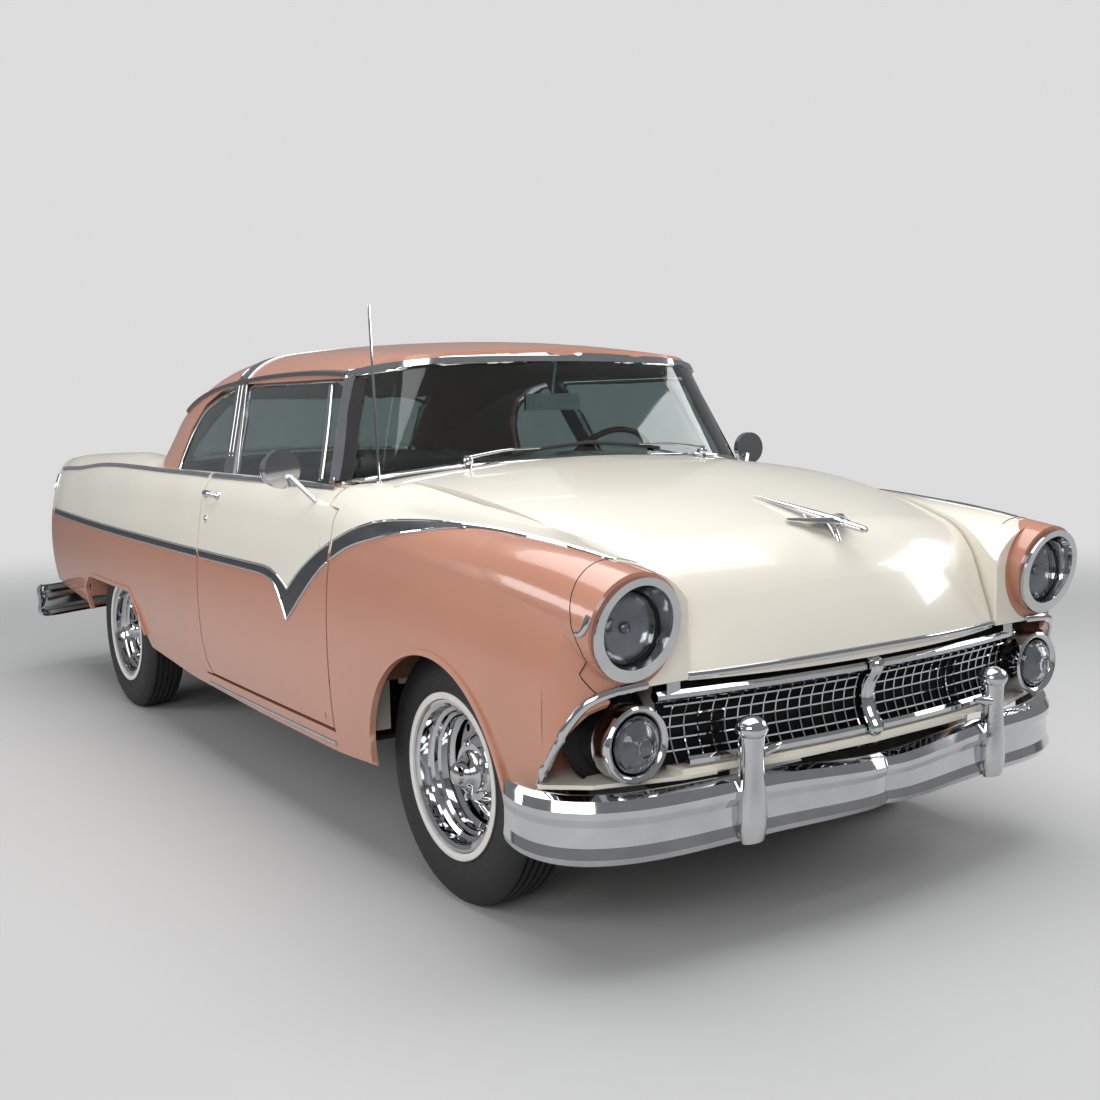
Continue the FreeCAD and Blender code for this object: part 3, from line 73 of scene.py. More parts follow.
class Hand(Enum):
    """The car's own two sides."""

    LEFT = 1
    RIGHT = -1

    @property
    def word(self) -> str:
        """The side as it stands in node and body names."""
        return self.name.lower()


class Pattern(Enum):
    """What breaks up a finish's colour."""

    CLOUDS = "clouds"
    GRAIN = "grain"
    WEAVE = "weave"
    FLUTES = "flutes"


# ---------------------------------------------------------------- finishes


@dataclass(frozen=True)
class Finish:
    """One procedural finish.

    Args:
        name: material name.
        colour: base colour, linear.
        metallic: share of metal.
        roughness: its middle value.
        coat: weight of the clear coat.
        sheen: weight of the cloth's sheen.
        transmission: share of the light that passes.
        ior: index of refraction.
        variation: share by which the colour and roughness wander.
        scale: pattern size, in repeats a metre.
        bump: height of the surface relief, in metres.
        pattern: kind of pattern.
        slot: appearance slot meant for the pieces that wear it; not used.
    """

    name: str
    colour: Colour
    metallic: float = 0.0
    roughness: float = 0.4
    coat: float = 0.0
    sheen: float = 0.0
    transmission: float = 0.0
    ior: float = 1.5
    variation: float = 0.06
    scale: float = 9.0
    bump: float = 0.0
    pattern: Pattern = Pattern.CLOUDS
    slot: str = "chrome"

    def material(self) -> bpy.types.Material:
        """Makes the material, or returns it where it already exists."""
        return bpy.data.materials.get(self.name) or self.fresh()[0]

    def fresh(self) -> tuple[bpy.types.Material, "Graph"]:
        """Makes the material and hands it back with its node tree."""
        made = bpy.data.materials.new(self.name)
        made.use_nodes = True
        graph = Graph(made.node_tree)
        graph.shader(self)
        graph.link(self.tone(graph), graph.base.inputs["Base Color"])
        return made, graph

    def tone(self, graph: "Graph") -> Socket:
        """Makes the colour.

        Args:
            graph: the material's nodes.

        Returns:
            What goes into the base colour.
        """
        noise = graph.pattern(self)
        dark = tuple(c * (1 - self.variation) for c in self.colour)
        light = tuple(min(1.0, c * (1 + self.variation)) for c in self.colour)
        return graph.ramp(noise, dark, light)


class Nodes:
    """A node tree with plain calls that add and join nodes."""

    def __init__(self, tree: bpy.types.NodeTree) -> None:
        """Clears the tree."""
        self.tree = tree
        tree.nodes.clear()

    def link(self, a: Socket, b: Socket) -> None:
        """Joins two sockets."""
        self.tree.links.new(a, b)

    def node(self, kind: str, **values: object) -> bpy.types.Node:
        """Adds a node.

        Args:
            kind: its type.
            values: its properties.

        Returns:
            The node.
        """
        made = self.tree.nodes.new(kind)
        for name, value in values.items():
            setattr(made, name, value)
        return made

    def math(self, operation: str, a: object, b: object = 0.0, c: object = 0.0) -> Socket:
        """Adds a math node.

        Args:
            operation: what it does.
            a: first socket or number.
            b: second one.
            c: third one.

        Returns:
            Its result.
        """
        made = self.node("ShaderNodeMath", operation=operation)
        for socket, value in zip(made.inputs, (a, b, c)):
            if isinstance(value, Socket):
                self.link(value, socket)
            else:
                socket.default_value = float(value)
        return made.outputs[0]

    def seen(self) -> Socket:
        """1 for what the camera sees directly or through glass, else 0."""
        path = self.node("ShaderNodeLightPath")
        return self.math("MAXIMUM", path.outputs["Is Camera Ray"], path.outputs["Is Transmission Ray"])

    def shade(self, factor: Socket, a: bpy.types.Node, b: bpy.types.Node, surface: Socket) -> None:
        """Puts a mix of two shaders on a surface.

        Args:
            factor: share of the second shader.
            a: first shader.
            b: second shader.
            surface: the output's socket.
        """
        both = self.node("ShaderNodeMixShader")
        for socket, source in zip(both.inputs, (factor, a.outputs[0], b.outputs[0])):
            self.link(source, socket)
        self.link(both.outputs[0], surface)


class Graph(Nodes):
    """A material's node tree with the few kinds of node the finishes use."""

    def __init__(self, tree: bpy.types.NodeTree) -> None:
        """Clears the tree and sets a Principled shader on its output."""
        super().__init__(tree)
        self.base = self.node("ShaderNodeBsdfPrincipled")
        self.out = self.node("ShaderNodeOutputMaterial")
        self.place = self.node("ShaderNodeTexCoord").outputs["Object"]
        self.link(self.base.outputs[0], self.out.inputs["Surface"])

    def axes(self) -> tuple[Socket, Socket, Socket]:
        """The object's x, y and z."""
        split = self.node("ShaderNodeSeparateXYZ")
        self.link(self.place, split.inputs[0])
        return tuple(split.outputs)

    def ramp(self, factor: Socket, dark: Colour, light: Colour) -> Socket:
        """Adds a colour ramp.

        Args:
            factor: what it follows.
            dark: colour at a low factor.
            light: colour at a high factor.

        Returns:
            The colour.
        """
        made = self.node("ShaderNodeValToRGB")
        self.link(factor, made.inputs[0])
        for point, at, colour in zip(made.color_ramp.elements, (0.3, 0.7), (dark, light)):
            point.position = at
            point.color = (*colour, 1.0)
        return made.outputs[0]

    def mix(self, factor: Socket, a: Socket, b: Socket) -> Socket:
        """Mixes two colours.

        Args:
            factor: share of the second colour.
            a: first colour.
            b: second colour.

        Returns:
            The mixed colour.
        """
        made = self.node("ShaderNodeMix", data_type="RGBA")
        self.link(factor, made.inputs[0])
        self.link(a, made.inputs[6])
        self.link(b, made.inputs[7])
        return made.outputs[2]

    def wave(self, value: Socket, scale: float) -> Socket:
        """Sine of the value, with the given repeats a metre."""
        return self.math("SINE", self.math("MULTIPLY", value, scale * PATTERN_TURN))

    def pattern(self, finish: Finish) -> Socket:
        """Adds what breaks up a finish.

        Args:
            finish: the finish.

        Returns:
            A factor between 0 and 1.
        """
        if finish.pattern is Pattern.WEAVE:
            x, y, z = self.axes()
            along = self.wave(self.math("ADD", x, z), finish.scale)
            across = self.wave(y, finish.scale)
            return self.math("MULTIPLY_ADD", self.math("MULTIPLY", along, across), 0.5, 0.5)
        if finish.pattern is Pattern.FLUTES:
            x, _, _ = self.axes()
            return self.math("MULTIPLY_ADD", self.wave(x, finish.scale), 0.5, 0.5)
        detail = 6.0 if finish.pattern is Pattern.GRAIN else 2.0
        noise = self.node("ShaderNodeTexNoise")
        self.link(self.place, noise.inputs["Vector"])
        noise.inputs["Scale"].default_value = finish.scale
        noise.inputs["Detail"].default_value = detail
        return noise.outputs[0]

    def shader(self, finish: Finish) -> None:
        """Sets the shader's own sockets and its relief.

        Args:
            finish: where the values come from.
        """
        sockets = self.base.inputs
        sockets["Metallic"].default_value = finish.metallic
        sockets["Coat Weight"].default_value = finish.coat
        sockets["Coat Roughness"].default_value = 0.03
        sockets["Sheen Weight"].default_value = finish.sheen
        sockets["Transmission Weight"].default_value = finish.transmission
        sockets["IOR"].default_value = finish.ior
        factor = self.pattern(finish)
        low = finish.roughness * (1 - 2 * finish.variation)
        span = finish.roughness * 4 * finish.variation
        self.link(self.math("MULTIPLY_ADD", factor, span, low), sockets["Roughness"])
        if finish.bump:
            bump = self.node("ShaderNodeBump")
            bump.inputs["Distance"].default_value = finish.bump
            bump.inputs["Strength"].default_value = 1.0
            self.link(factor, bump.inputs["Height"])
            self.link(bump.outputs[0], sockets["Normal"])


CORAL: Colour = (0.500, 0.232, 0.155)
IVORY: Colour = (0.800, 0.760, 0.665)
LENGTH_SPAN = (-2.6, 2.6)

CHROME = Finish("bright_chrome", (0.60, 0.605, 0.62), metallic=1.0, roughness=0.06, variation=0.05, scale=14)
SATIN_METAL = Finish("satin_bright_metal", (0.34, 0.34, 0.35), metallic=1.0, roughness=0.30, variation=0.08,
                     scale=60)
DARK_BAND = Finish("grey_spear_infill", (0.075, 0.078, 0.085), metallic=0.6, roughness=0.34, variation=0.1,
                   scale=40)
CORAL_PAINT = Finish("coral_enamel", CORAL, roughness=0.22, coat=0.55, variation=0.02, scale=3)
IVORY_PAINT = Finish("ivory_enamel", IVORY, roughness=0.22, coat=0.55, variation=0.015, scale=3)
BLACK_PAINT = Finish("chassis_black", (0.014, 0.014, 0.015), roughness=0.48, variation=0.2, scale=30,
                     bump=0.0003, pattern=Pattern.GRAIN)
# black of the windshield seals, pod seams and dial faces; the same black also paints the shade in the grille
# and parking lamp openings
BLACK_TRIM_AND_SHADE = Finish("recess_black", (0.006, 0.006, 0.006), roughness=0.7, variation=0.2, scale=25,
                      slot="trim_plastic")
TYRE_RUBBER = Finish("tyre_rubber", (0.012, 0.012, 0.013), roughness=0.62, variation=0.16, scale=55,
                     bump=0.0002, pattern=Pattern.GRAIN, slot="tyre")
WHITE_RUBBER = Finish("white_rubber", (0.72, 0.71, 0.67), roughness=0.55, variation=0.03, scale=30,
                      slot="tyre")
WINDOW_GLASS = Finish("window_glass", (0.34, 0.40, 0.40), roughness=0.02, transmission=1.0, ior=1.45,
                      variation=0.02)
LAMP_GLASS = Finish("fluted_lamp_glass", (0.72, 0.75, 0.77), roughness=0.03, transmission=1.0, ior=1.4,
                    variation=0.02, scale=62, bump=0.00025, pattern=Pattern.FLUTES, slot="lamp_glass")
LAMP_BOWL = Finish("lamp_reflector", (0.22, 0.225, 0.235), metallic=1.0, roughness=0.12, variation=0.10,
                   scale=50)
LAMP_RED = Finish("red_lamp_glass", (0.42, 0.008, 0.006), roughness=0.14, transmission=0.35, variation=0.08,
                  scale=40, bump=0.0006, pattern=Pattern.FLUTES, slot="lamp_red")
STEEL = Finish("plain_steel", (0.20, 0.195, 0.19), metallic=1.0, roughness=0.46, variation=0.2, scale=22,
               bump=0.0002, pattern=Pattern.GRAIN)
IRON = Finish("cast_iron", (0.06, 0.06, 0.062), metallic=0.7, roughness=0.6, variation=0.2, scale=90,
              bump=0.0006, pattern=Pattern.GRAIN)
COPPER_RIM = Finish("copper_brown_rim", (0.115, 0.030, 0.012), roughness=0.2, coat=0.4, variation=0.12,
                    scale=18)
SEAT_CLOTH = Finish("seat_cloth", (0.085, 0.036, 0.018), roughness=0.85, sheen=0.3, variation=0.28,
                    scale=330, bump=0.0004, pattern=Pattern.WEAVE, slot="upholstery")
SEAT_VINYL = Finish("seat_vinyl", (0.135, 0.050, 0.022), roughness=0.42, variation=0.08, scale=240,
                    bump=0.0002, pattern=Pattern.GRAIN, slot="upholstery")
DASH_PAINT = Finish("dash_enamel", (0.115, 0.048, 0.028), roughness=0.28, coat=0.4, variation=0.04, scale=12)
SILVERED = Finish("mirror_silver", (0.86, 0.87, 0.88), metallic=1.0, roughness=0.02, variation=0.02, scale=4,
                  slot="glass")


@dataclass(frozen=True)
class TwoToneEnamel(Finish):
    """Coral below the side spear and on the lamp pods, ivory above it.

    Args:
        height: (y, z) of the line the spear follows along the sides.
        spread: (y, x) of that line along the fender crowns.
        pod_radius: half the width of the coral lamp pod.
        nose_y: how far back the ivory inboard of the pods reaches.
    """

    height: Pairs = (
        (-2.60, 0.94), (-2.30, 0.94), (-1.62, 0.94), (-1.50, 1.000), (-1.371, 0.985), (-1.257, 0.938),
        (-1.132, 0.880), (-1.033, 0.818), (-0.962, 0.766), (-0.905, 0.722), (-0.872, 0.752), (-0.807, 0.796),
        (-0.723, 0.815), (-0.504, 0.816), (-0.10, 0.817), (0.495, 0.818), (1.27, 0.822), (2.60, 0.842))
    spread: Pairs = (
        (-2.60, 0.742), (-2.357, 0.742), (-2.30, 0.752), (-2.12, 0.767), (-1.928, 0.787), (-1.783, 0.818),
        (-1.632, 0.853), (-1.50, 0.885), (-1.46, 1.0), (2.6, 1.0))
    pod_radius: float = 0.146
    nose_y: float = -2.0

    def curve(self, graph: Graph, y: Socket, knots: Pairs, span: tuple[float, float]) -> Socket:
        """Adds a value that follows the knots along y.

        Args:
            graph: node tree.
            y: length coordinate.
            knots: (y, value) pairs.
            span: lowest and highest value the curve can hold.

        Returns:
            The value's socket.
        """
        low, high = LENGTH_SPAN
        share = graph.math("MULTIPLY_ADD", y, 1 / (high - low), -low / (high - low))
        node = graph.node("ShaderNodeFloatCurve")
        graph.link(share, node.inputs["Value"])
        points = node.mapping.curves[0].points
        while len(points) < len(knots):
            points.new(0.5, 0.5)
        for point, (at, value) in zip(points, knots):
            point.location = ((at - low) / (high - low), (value - span[0]) / (span[1] - span[0]))
            point.handle_type = "VECTOR"
        node.mapping.update()
        return graph.math("MULTIPLY_ADD", node.outputs[0], span[1] - span[0], span[0])

    def tone(self, graph: Graph) -> Socket:
        """Makes the coral and the ivory, parted by the spear's line.

        Args:
            graph: the material's nodes.

        Returns:
            What goes into the base colour.
        """
        x, y, z = graph.axes()
        out = graph.math("ABSOLUTE", x)
        above = graph.math("GREATER_THAN", z, self.curve(graph, y, self.height, (0.6, 1.1)))
        inboard = graph.math("LESS_THAN", out, self.curve(graph, y, self.spread, (0.7, 1.0)))
        seam = graph.math("MULTIPLY_ADD", z, -POD_SEAM_LEAN, POD_SEAM_Y + POD_SEAM_LEAN * POD_SEAM_Z)
        behind = graph.math("GREATER_THAN", y, seam)
        wide = graph.math("SUBTRACT", out, LAMP_X)
        tall = graph.math("SUBTRACT", z, LAMP_Z)
        reach = graph.math("ADD", graph.math("MULTIPLY", wide, wide), graph.math("MULTIPLY", tall, tall))
        beside = graph.math("MULTIPLY", graph.math("GREATER_THAN", reach, self.pod_radius ** 2),
                            graph.math("LESS_THAN", wide, 0.0))
        nose = graph.math("MULTIPLY", beside, graph.math("LESS_THAN", y, self.nose_y))
        crown = graph.math("MULTIPLY", graph.math("MULTIPLY", above, inboard), behind)
        noise = graph.pattern(self)
        coral = graph.ramp(noise, tuple(c * 0.975 for c in CORAL), tuple(c * 1.02 for c in CORAL))
        ivory = graph.ramp(noise, tuple(c * 0.985 for c in IVORY), tuple(c * 1.01 for c in IVORY))
        return graph.mix(graph.math("MAXIMUM", crown, nose), coral, ivory)


TWO_TONE = TwoToneEnamel("two_tone_enamel", CORAL, roughness=0.22, coat=0.55, variation=0.02, scale=3)


# ---------------------------------------------------------------- modelling helpers


def finish_mesh(bm: Mesh, name: str, body: str, finish: Finish, smooth: float = 35.0,
                slot: str = "", stands_for: str = "") -> bpy.types.Object:
    """Turns a bmesh into a finished piece.

    Args:
        bm: the mesh, freed afterwards.
        name: piece name.
        body: CAD body it moves with.
        finish: its material.
        smooth: angle in degrees below which edges look rounded.
        slot: appearance slot, where it isn't its finish's own; not used.
        stands_for: CAD node that it shows in place of.

    Returns:
        The piece, riding on its body.
    """
    bmesh.ops.remove_doubles(bm, verts=bm.verts, dist=1e-6)
    bmesh.ops.recalc_face_normals(bm, faces=bm.faces)
    for face in bm.faces:
        face.smooth = True
    for edge in bm.edges:
        if len(edge.link_faces) == 2 and edge.calc_face_angle(0.0) > math.radians(smooth):
            edge.smooth = False
    mesh = bpy.data.meshes.new(name)
    bm.to_mesh(mesh)
    bm.free()
    mesh.materials.append(finish.material())
    piece = bpy.data.objects.new(name, mesh)
    bpy.context.scene.collection.objects.link(piece)
    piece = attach(piece, body)
    if stands_for:
        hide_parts(stands_for)
    log.info("built %s", name)
    return piece


def chain(bm: Mesh, points: Iterable[Point], closed: bool = False) -> list[bmesh.types.BMVert]:
    """Adds a run of points joined by edges.

    Args:
        bm: the mesh.
        points: places in metres.
        closed: whether the last point joins the first.

    Returns:
        The new vertices in order.
    """
    verts = [bm.verts.new(p) for p in points]
    for a, b in zip(verts, verts[1:]):
        bm.edges.new((a, b))
    if closed:
        bm.edges.new((verts[-1], verts[0]))
    return verts


def lathe(bm: Mesh, profile: Pairs, centre: Point, axis: Point, steps: int = 64) -> None:
    """Spins a profile into a closed round form.

    Args:
        bm: the mesh.
        profile: (radius, height along the axis) pairs.
        centre: where the axis starts.
        axis: its direction.
        steps: number of turns' parts.
    """
    up = Vector(axis).normalized()
    side = up.orthogonal().normalized()
    start = Vector(centre)
    before = set(bm.verts)
    verts = chain(bm, [start + side * max(r, 0.0) + up * h for r, h in profile])
    edges = [e for e in bm.edges if e.verts[0] not in before and e.verts[1] not in before]
    bmesh.ops.spin(bm, geom=verts + edges, cent=start, axis=up, dvec=(0, 0, 0), angle=math.tau, steps=steps,
                   use_merge=True, use_duplicate=False)
    fresh = [v for v in bm.verts if v not in before]
    bmesh.ops.remove_doubles(bm, verts=fresh, dist=2e-6)


def turned(profile: Pairs, centre: Point, axis: Point, steps: int = 64) -> Mesh:
    """Makes a new mesh with one spun form.

    Args:
        profile: (radius, height along the axis) pairs.
        centre: where the axis starts.
        axis: its direction.
        steps: number of turns' parts.

    Returns:
        The mesh.
    """
    bm = bmesh.new()
    lathe(bm, profile, centre, axis, steps)
    return bm


def sweep(bm: Mesh, path: Sequence[Vector], outs: Sequence[Vector],
          section: Pairs, scale: Optional[Sequence[float]] = None) -> None:
    """Carries a closed section along a path and caps its ends.

    Args:
        bm: the mesh.
        path: places the section passes through.
        outs: direction that the section's second coordinate takes at each place.
        section: (across, out) pairs.
        scale: section's size at each place.
    """
    loop: list[bmesh.types.BMVert] = []
    first: list[bmesh.types.BMVert] = []
    for k, (place, out) in enumerate(zip(path, outs)):
        ahead = (path[min(k + 1, len(path) - 1)] - path[max(k - 1, 0)]).normalized()
        across = ahead.cross(out).normalized()
        true_out = across.cross(ahead).normalized()
        size = scale[k] if scale else 1.0
        spots = [place + across * (u * size) + true_out * (v * size) for u, v in section]
        if not loop:
            loop = chain(bm, spots, closed=True)
            first = loop
            continue
        edges = [bm.edges.get((a, b)) for a, b in zip(loop, loop[1:] + loop[:1])]
        made = bmesh.ops.extrude_edge_only(bm, edges=edges)["geom"]
        fresh = [v for v in made if isinstance(v, bmesh.types.BMVert)]
        step = {v: next(e.other_vert(v) for e in v.link_edges if e.other_vert(v) in loop) for v in fresh}
        order = {old: new for new, old in step.items()}
        loop = [order[v] for v in loop]
        for vert, spot in zip(loop, spots):
            vert.co = spot
    for ring in (first, loop):
        bmesh.ops.contextual_create(bm, geom=ring)


def ring_section(width: float, height: float, sides: int = 10) -> list[tuple[float, float]]:
    """Rounded section of a bead.

    Args:
        width: across.
        height: out from the surface.
        sides: corner count.

    Returns:
        (across, out) pairs.
    """
    return [(width / 2 * math.cos(math.tau * k / sides), height / 2 * math.sin(math.tau * k / sides))
            for k in range(sides)]


def smooth_path(knots: Sequence[Point], spacing: float) -> list[Vector]:
    """Curve through the knots, at even spacing.

    Args:
        knots: places the curve passes through.
        spacing: distance between its points.

    Returns:
        The points.
    """
    spots = [Vector(k) for k in knots]
    spots = [spots[0] * 2 - spots[1]] + spots + [spots[-1] * 2 - spots[-2]]
    fine: list[Vector] = []
    for a, b, c, d in zip(spots, spots[1:], spots[2:], spots[3:]):
        count = max(2, int((c - b).length / spacing * 2))
        for k in range(count):
            t = k / count
            fine.append(0.5 * ((2 * b) + (c - a) * t + (2 * a - 5 * b + 4 * c - d) * t * t
                               + (3 * b - a - 3 * c + d) * t ** 3))
    fine.append(spots[-2])
    return even(fine, spacing)


def even(points: Sequence[Vector], spacing: float) -> list[Vector]:
    """Resamples a run of points, keeping both ends.

    Args:
        points: the run.
        spacing: distance between the new points.

    Returns:
        The new points.
    """
    lengths = [0.0]
    for a, b in zip(points, points[1:]):
        lengths.append(lengths[-1] + (b - a).length)
    count = max(1, round(lengths[-1] / spacing))
    out, k = [], 0
    for n in range(count + 1):
        at = lengths[-1] * n / count
        while k < len(points) - 2 and lengths[k + 1] < at:
            k += 1
        span = lengths[k + 1] - lengths[k] or 1.0
        out.append(points[k].lerp(points[k + 1], (at - lengths[k]) / span))
    return out


class Skin:
    """Outer surface of some CAD nodes, for trim to lie on."""

    def __init__(self, *names: str) -> None:
        """Gathers the nodes' meshes into one search tree.

        Args:
            names: the nodes.
        """
        bm = bmesh.new()
        for name in names:
            bm.from_mesh(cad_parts[name].data)
        self.tree = BVHTree.FromBMesh(bm)
        bm.free()

    def lay(self, points: Iterable[Vector], direction: Point, lift: float = 0.0) -> Run:
        """Drops points on the surface along a direction.

        Args:
            points: places to drop.
            direction: way they fall.
            lift: height above the surface.

        Returns:
            Places and outward normals, without the points that miss.
        """
        way = Vector(direction).normalized()
        places, normals = [], []
        for point in points:
            place, normal, _, _ = self.tree.ray_cast(point - way * RAY_START, way)
            if place is not None:
                normal = normal if normal.dot(way) < 0 else -normal
                places.append(place + normal * lift)
                normals.append(normal)
        return places, normals

    def near(self, points: Iterable[Vector], lift: float = 0.0, heart: Point = (0, 0, 0.7)) -> Run:
        """Moves points to the nearest place on the surface.

        Args:
            points: places near it.
            lift: height above the surface.
            heart: point that normals turn away from, whose y is counted from each place.

        Returns:
            Places and outward normals.
        """
        places, normals = [], []
        for point in points:
            place, normal, _, _ = self.tree.find_nearest(point)
            away = place - Vector((heart[0], place.y + heart[1], heart[2]))
            normal = normal if normal.dot(away) >= 0 else -normal
            places.append(place + normal * lift)
            normals.append(normal)
        return places, normals


def eased(values: Sequence[Vector], rounds: int = 3) -> list[Vector]:
    """Averages directions with their neighbours.

    Args:
        values: the directions.
        rounds: how often.

    Returns:
        The averaged directions.
    """
    out = [v.copy() for v in values]
    for _ in range(rounds):
        padded = out[:1] + out + out[-1:]
        out = [(a + b * 2 + c).normalized() for a, b, c in zip(padded, out, padded[2:])]
    return out


def bead(run: Run, width: float, height: float, sides: int = 8,
         rounds: int = 3, scale: Optional[Sequence[float]] = None) -> Mesh:
    """Makes a new mesh with a rounded strip.

    Args:
        run: places and outward normals.
        width: across.
        height: out from the surface.
        sides: corner count.
        rounds: how often the normals are averaged.
        scale: the strip's size at each place.

    Returns:
        The mesh.
    """
    bm = bmesh.new()
    sweep(bm, run[0], eased(run[1], rounds), ring_section(width, height, sides), scale)
    return bm


def panel(bm: Mesh, rows: Sequence[Sequence[Vector]], thickness: float) -> None:
    """Thin sheet through a grid of places.

    Args:
        bm: the mesh.
        rows: equally long rows of places.
        thickness: how thick the sheet is.
    """
    wide, tall = len(rows[0]), len(rows)
    verts = bmesh.ops.create_grid(bm, x_segments=wide - 1, y_segments=tall - 1, size=1.0)["verts"]
    verts = sorted(verts, key=lambda v: (round(v.co.y, 5), round(v.co.x, 5)))
    for k, vert in enumerate(verts):
        vert.co = rows[k // wide][k % wide]
    faces = list({f for v in verts for f in v.link_faces})
    bmesh.ops.solidify(bm, geom=faces, thickness=thickness)


def tube(bm: Mesh, knots: Sequence[Point], radius: float, spacing: float = 0.02, sides: int = 12,
         taper: Optional[Callable[[float], float]] = None, flat: float = 1.0, out: Point = (0, 0, 1)) -> None:
    """Round or oval rod through the knots.

    Args:
        bm: the mesh.
        knots: places it passes through.
        radius: half its width.
        spacing: distance between its sections.
        sides: corner count.
        taper: size as a share at each share of its length.
        flat: height as a share of the width.
        out: direction its height takes.
    """
    path = smooth_path(knots, spacing)
    scale = [taper(k / (len(path) - 1)) for k in range(len(path))] if taper else None
    sweep(bm, path, [Vector(out)] * len(path), ring_section(2 * radius, 2 * radius * flat, sides), scale)


def mirrored(half: Sequence[Point]) -> tuple[Point, ...]:
    """Knots from the right-hand end to the left-hand end, from those between the middle and the left."""
    return tuple((-x, y, z) for x, y, z in half[:0:-1]) + tuple(half)


def block(bm: Mesh, low: Point, high: Point, edge: float, segments: int = 3) -> None:
    """Box with rounded edges.

    Args:
        bm: the mesh.
        low: lowest corner.
        high: highest corner.
        edge: rounding radius.
        segments: facets round an edge.
    """
    made = bmesh.ops.create_cube(bm, size=1.0)["verts"]
    a, b = Vector(low), Vector(high)
    bmesh.ops.scale(bm, vec=b - a, verts=made)
    bmesh.ops.translate(bm, vec=(a + b) / 2, verts=made)
    edges = list({e for v in made for e in v.link_edges})
    bmesh.ops.bevel(bm, geom=edges, offset=edge, offset_type="OFFSET", segments=segments, profile=0.5,
                    affect="EDGES", material=-1, clamp_overlap=True)


# ---------------------------------------------------------------- sub-assemblies


@dataclass
class CadFinishes:
    """Materials of the CAD nodes that show as they are.

    Args:
        groups: each finish with the starts of the names of its nodes; what isn't named is chrome.
    """

    groups: tuple[tuple[Finish, str], ...] = (
        (TWO_TONE, "door_l door_r front_fender quarter_panel"),
        (IVORY_PAINT, "hood cowl rear_deck trunk_lid front_apron"),
        (CORAL_PAINT, "rocker roof_panel tail_panel"),
        (SATIN_METAL, "roof_band"),
        (CHROME, "hood_ornament"),
        (BLACK_PAINT, "chassis_frame floor_pan radiator front_suspension rear_axle"),
        (IRON, "engine_block"),
        (STEEL, "exhaust_pipe fuel_tank knuckle"),
        (TYRE_RUBBER, "tyre"),
        (COPPER_RIM, "steering_wheel"),
        (DASH_PAINT, "dashboard"),
        (SEAT_VINYL, "front_seat rear_seat"),
        (LAMP_GLASS, "headlamp_lenses"),
        (LAMP_RED, "tail_lamp_lenses"),
        (WINDOW_GLASS, "door_glass quarter_glass rear_window_glass windshield_glass"))

    def dress(self) -> None:
        """Gives each CAD node its finish, by the longest start that its name has."""
        choices = {start: finish for finish, starts in self.groups for start in starts.split()}
        for name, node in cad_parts.items():
            start = max((k for k in choices if name.startswith(k)), key=len, default="")
            finish = choices.get(start, CHROME)
            node.data.materials.clear()
            node.data.materials.append(finish.material())
            log.info("finish %s: %s", name, finish.name)


@dataclass
class Sided:
    """A sub-assembly that each side of the car has.

    Args:
        hand: side of the car.
    """

    hand: Hand

    def keep(self, bm: Mesh, name: str, finish: Finish, body: str = "body", **rest: object) -> None:
        """Finishes a mesh as a piece of this side.

        Args:
            bm: the mesh.
            name: piece name, without its side.
            finish: its material.
            body: CAD body it moves with; "*" stands for the side.
            rest: what else finish_mesh takes.
        """
        finish_mesh(bm, f"{name}_{self.hand.word}", body.replace("*", self.hand.word), finish, **rest)

    def skin(self, node: str) -> Skin:
        """Surface of the side's node."""
        return Skin(f"{node}_{self.hand.word}")


@dataclass
class Wheel(Sided):
    """Tyre with ribs and a white stripe, over a CAD tyre.

    Args:
        place: front or rear.
        outer: radius of the tread.
        bead: radius where the tyre meets the rim.
        half_width: half the width of the tyre.
        grooves: how many run round the tread.
    """

    place: str
    outer: float = 0.348
    bead: float = 0.199
    half_width: float = 0.084
    grooves: int = 5

    def build(self) -> None:
        """Makes the tyre and its stripe."""
        node = f"tyre_{self.place}_{self.hand.word}"
        body = f"wheel_{self.place}_*"
        low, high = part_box(node)
        centre = (low + high) / 2
        axis = (self.hand.value, 0, 0)
        self.keep(turned(self.profile(), centre, axis, 96), f"tyre_tread_{self.place}", TYRE_RUBBER, body,
                  smooth=40, stands_for=node)
        r, w = self.bead, self.half_width
        stripe = [(r + 0.008, w * 0.86), (r + 0.009, w * 0.975), (r + 0.013, w * 0.99),
                  (r + 0.024, w * 0.995), (r + 0.027, w * 0.98), (r + 0.026, w * 0.86), (r + 0.008, w * 0.86)]
        self.keep(turned(stripe, centre, axis, 96), f"tyre_stripe_{self.place}", WHITE_RUBBER, body)

    def profile(self) -> list[tuple[float, float]]:
        """Works out the tyre's section.

        Returns:
            (radius, offset) pairs, outer side first.
        """
        r, b, w = self.outer, self.bead, self.half_width
        side = [(b, 0.060), (b + 0.004, 0.070), (b + 0.012, w * 0.93), (b + 0.030, w * 0.955),
                (b + 0.034, w * 0.925), (b + 0.070, w * 1.0), (b + 0.098, w * 0.985), (b + 0.120, w * 0.93),
                (r - 0.014, w * 0.83), (r - 0.006, w * 0.74)]
        tread = [(r - 0.002, w * 0.70)]
        pitch = w * 1.36 / self.grooves
        for k in range(self.grooves):
            x = w * 0.68 - pitch * (k + 0.5)
            tread += [(r, x + 0.0045), (r - 0.007, x + 0.0035), (r - 0.007, x - 0.0035), (r, x - 0.0045)]
        tread.append((r - 0.002, -w * 0.70))
        inner = [(radius, -offset) for radius, offset in reversed(side)]
        loop = side + tread + inner
        return loop + [loop[0]]


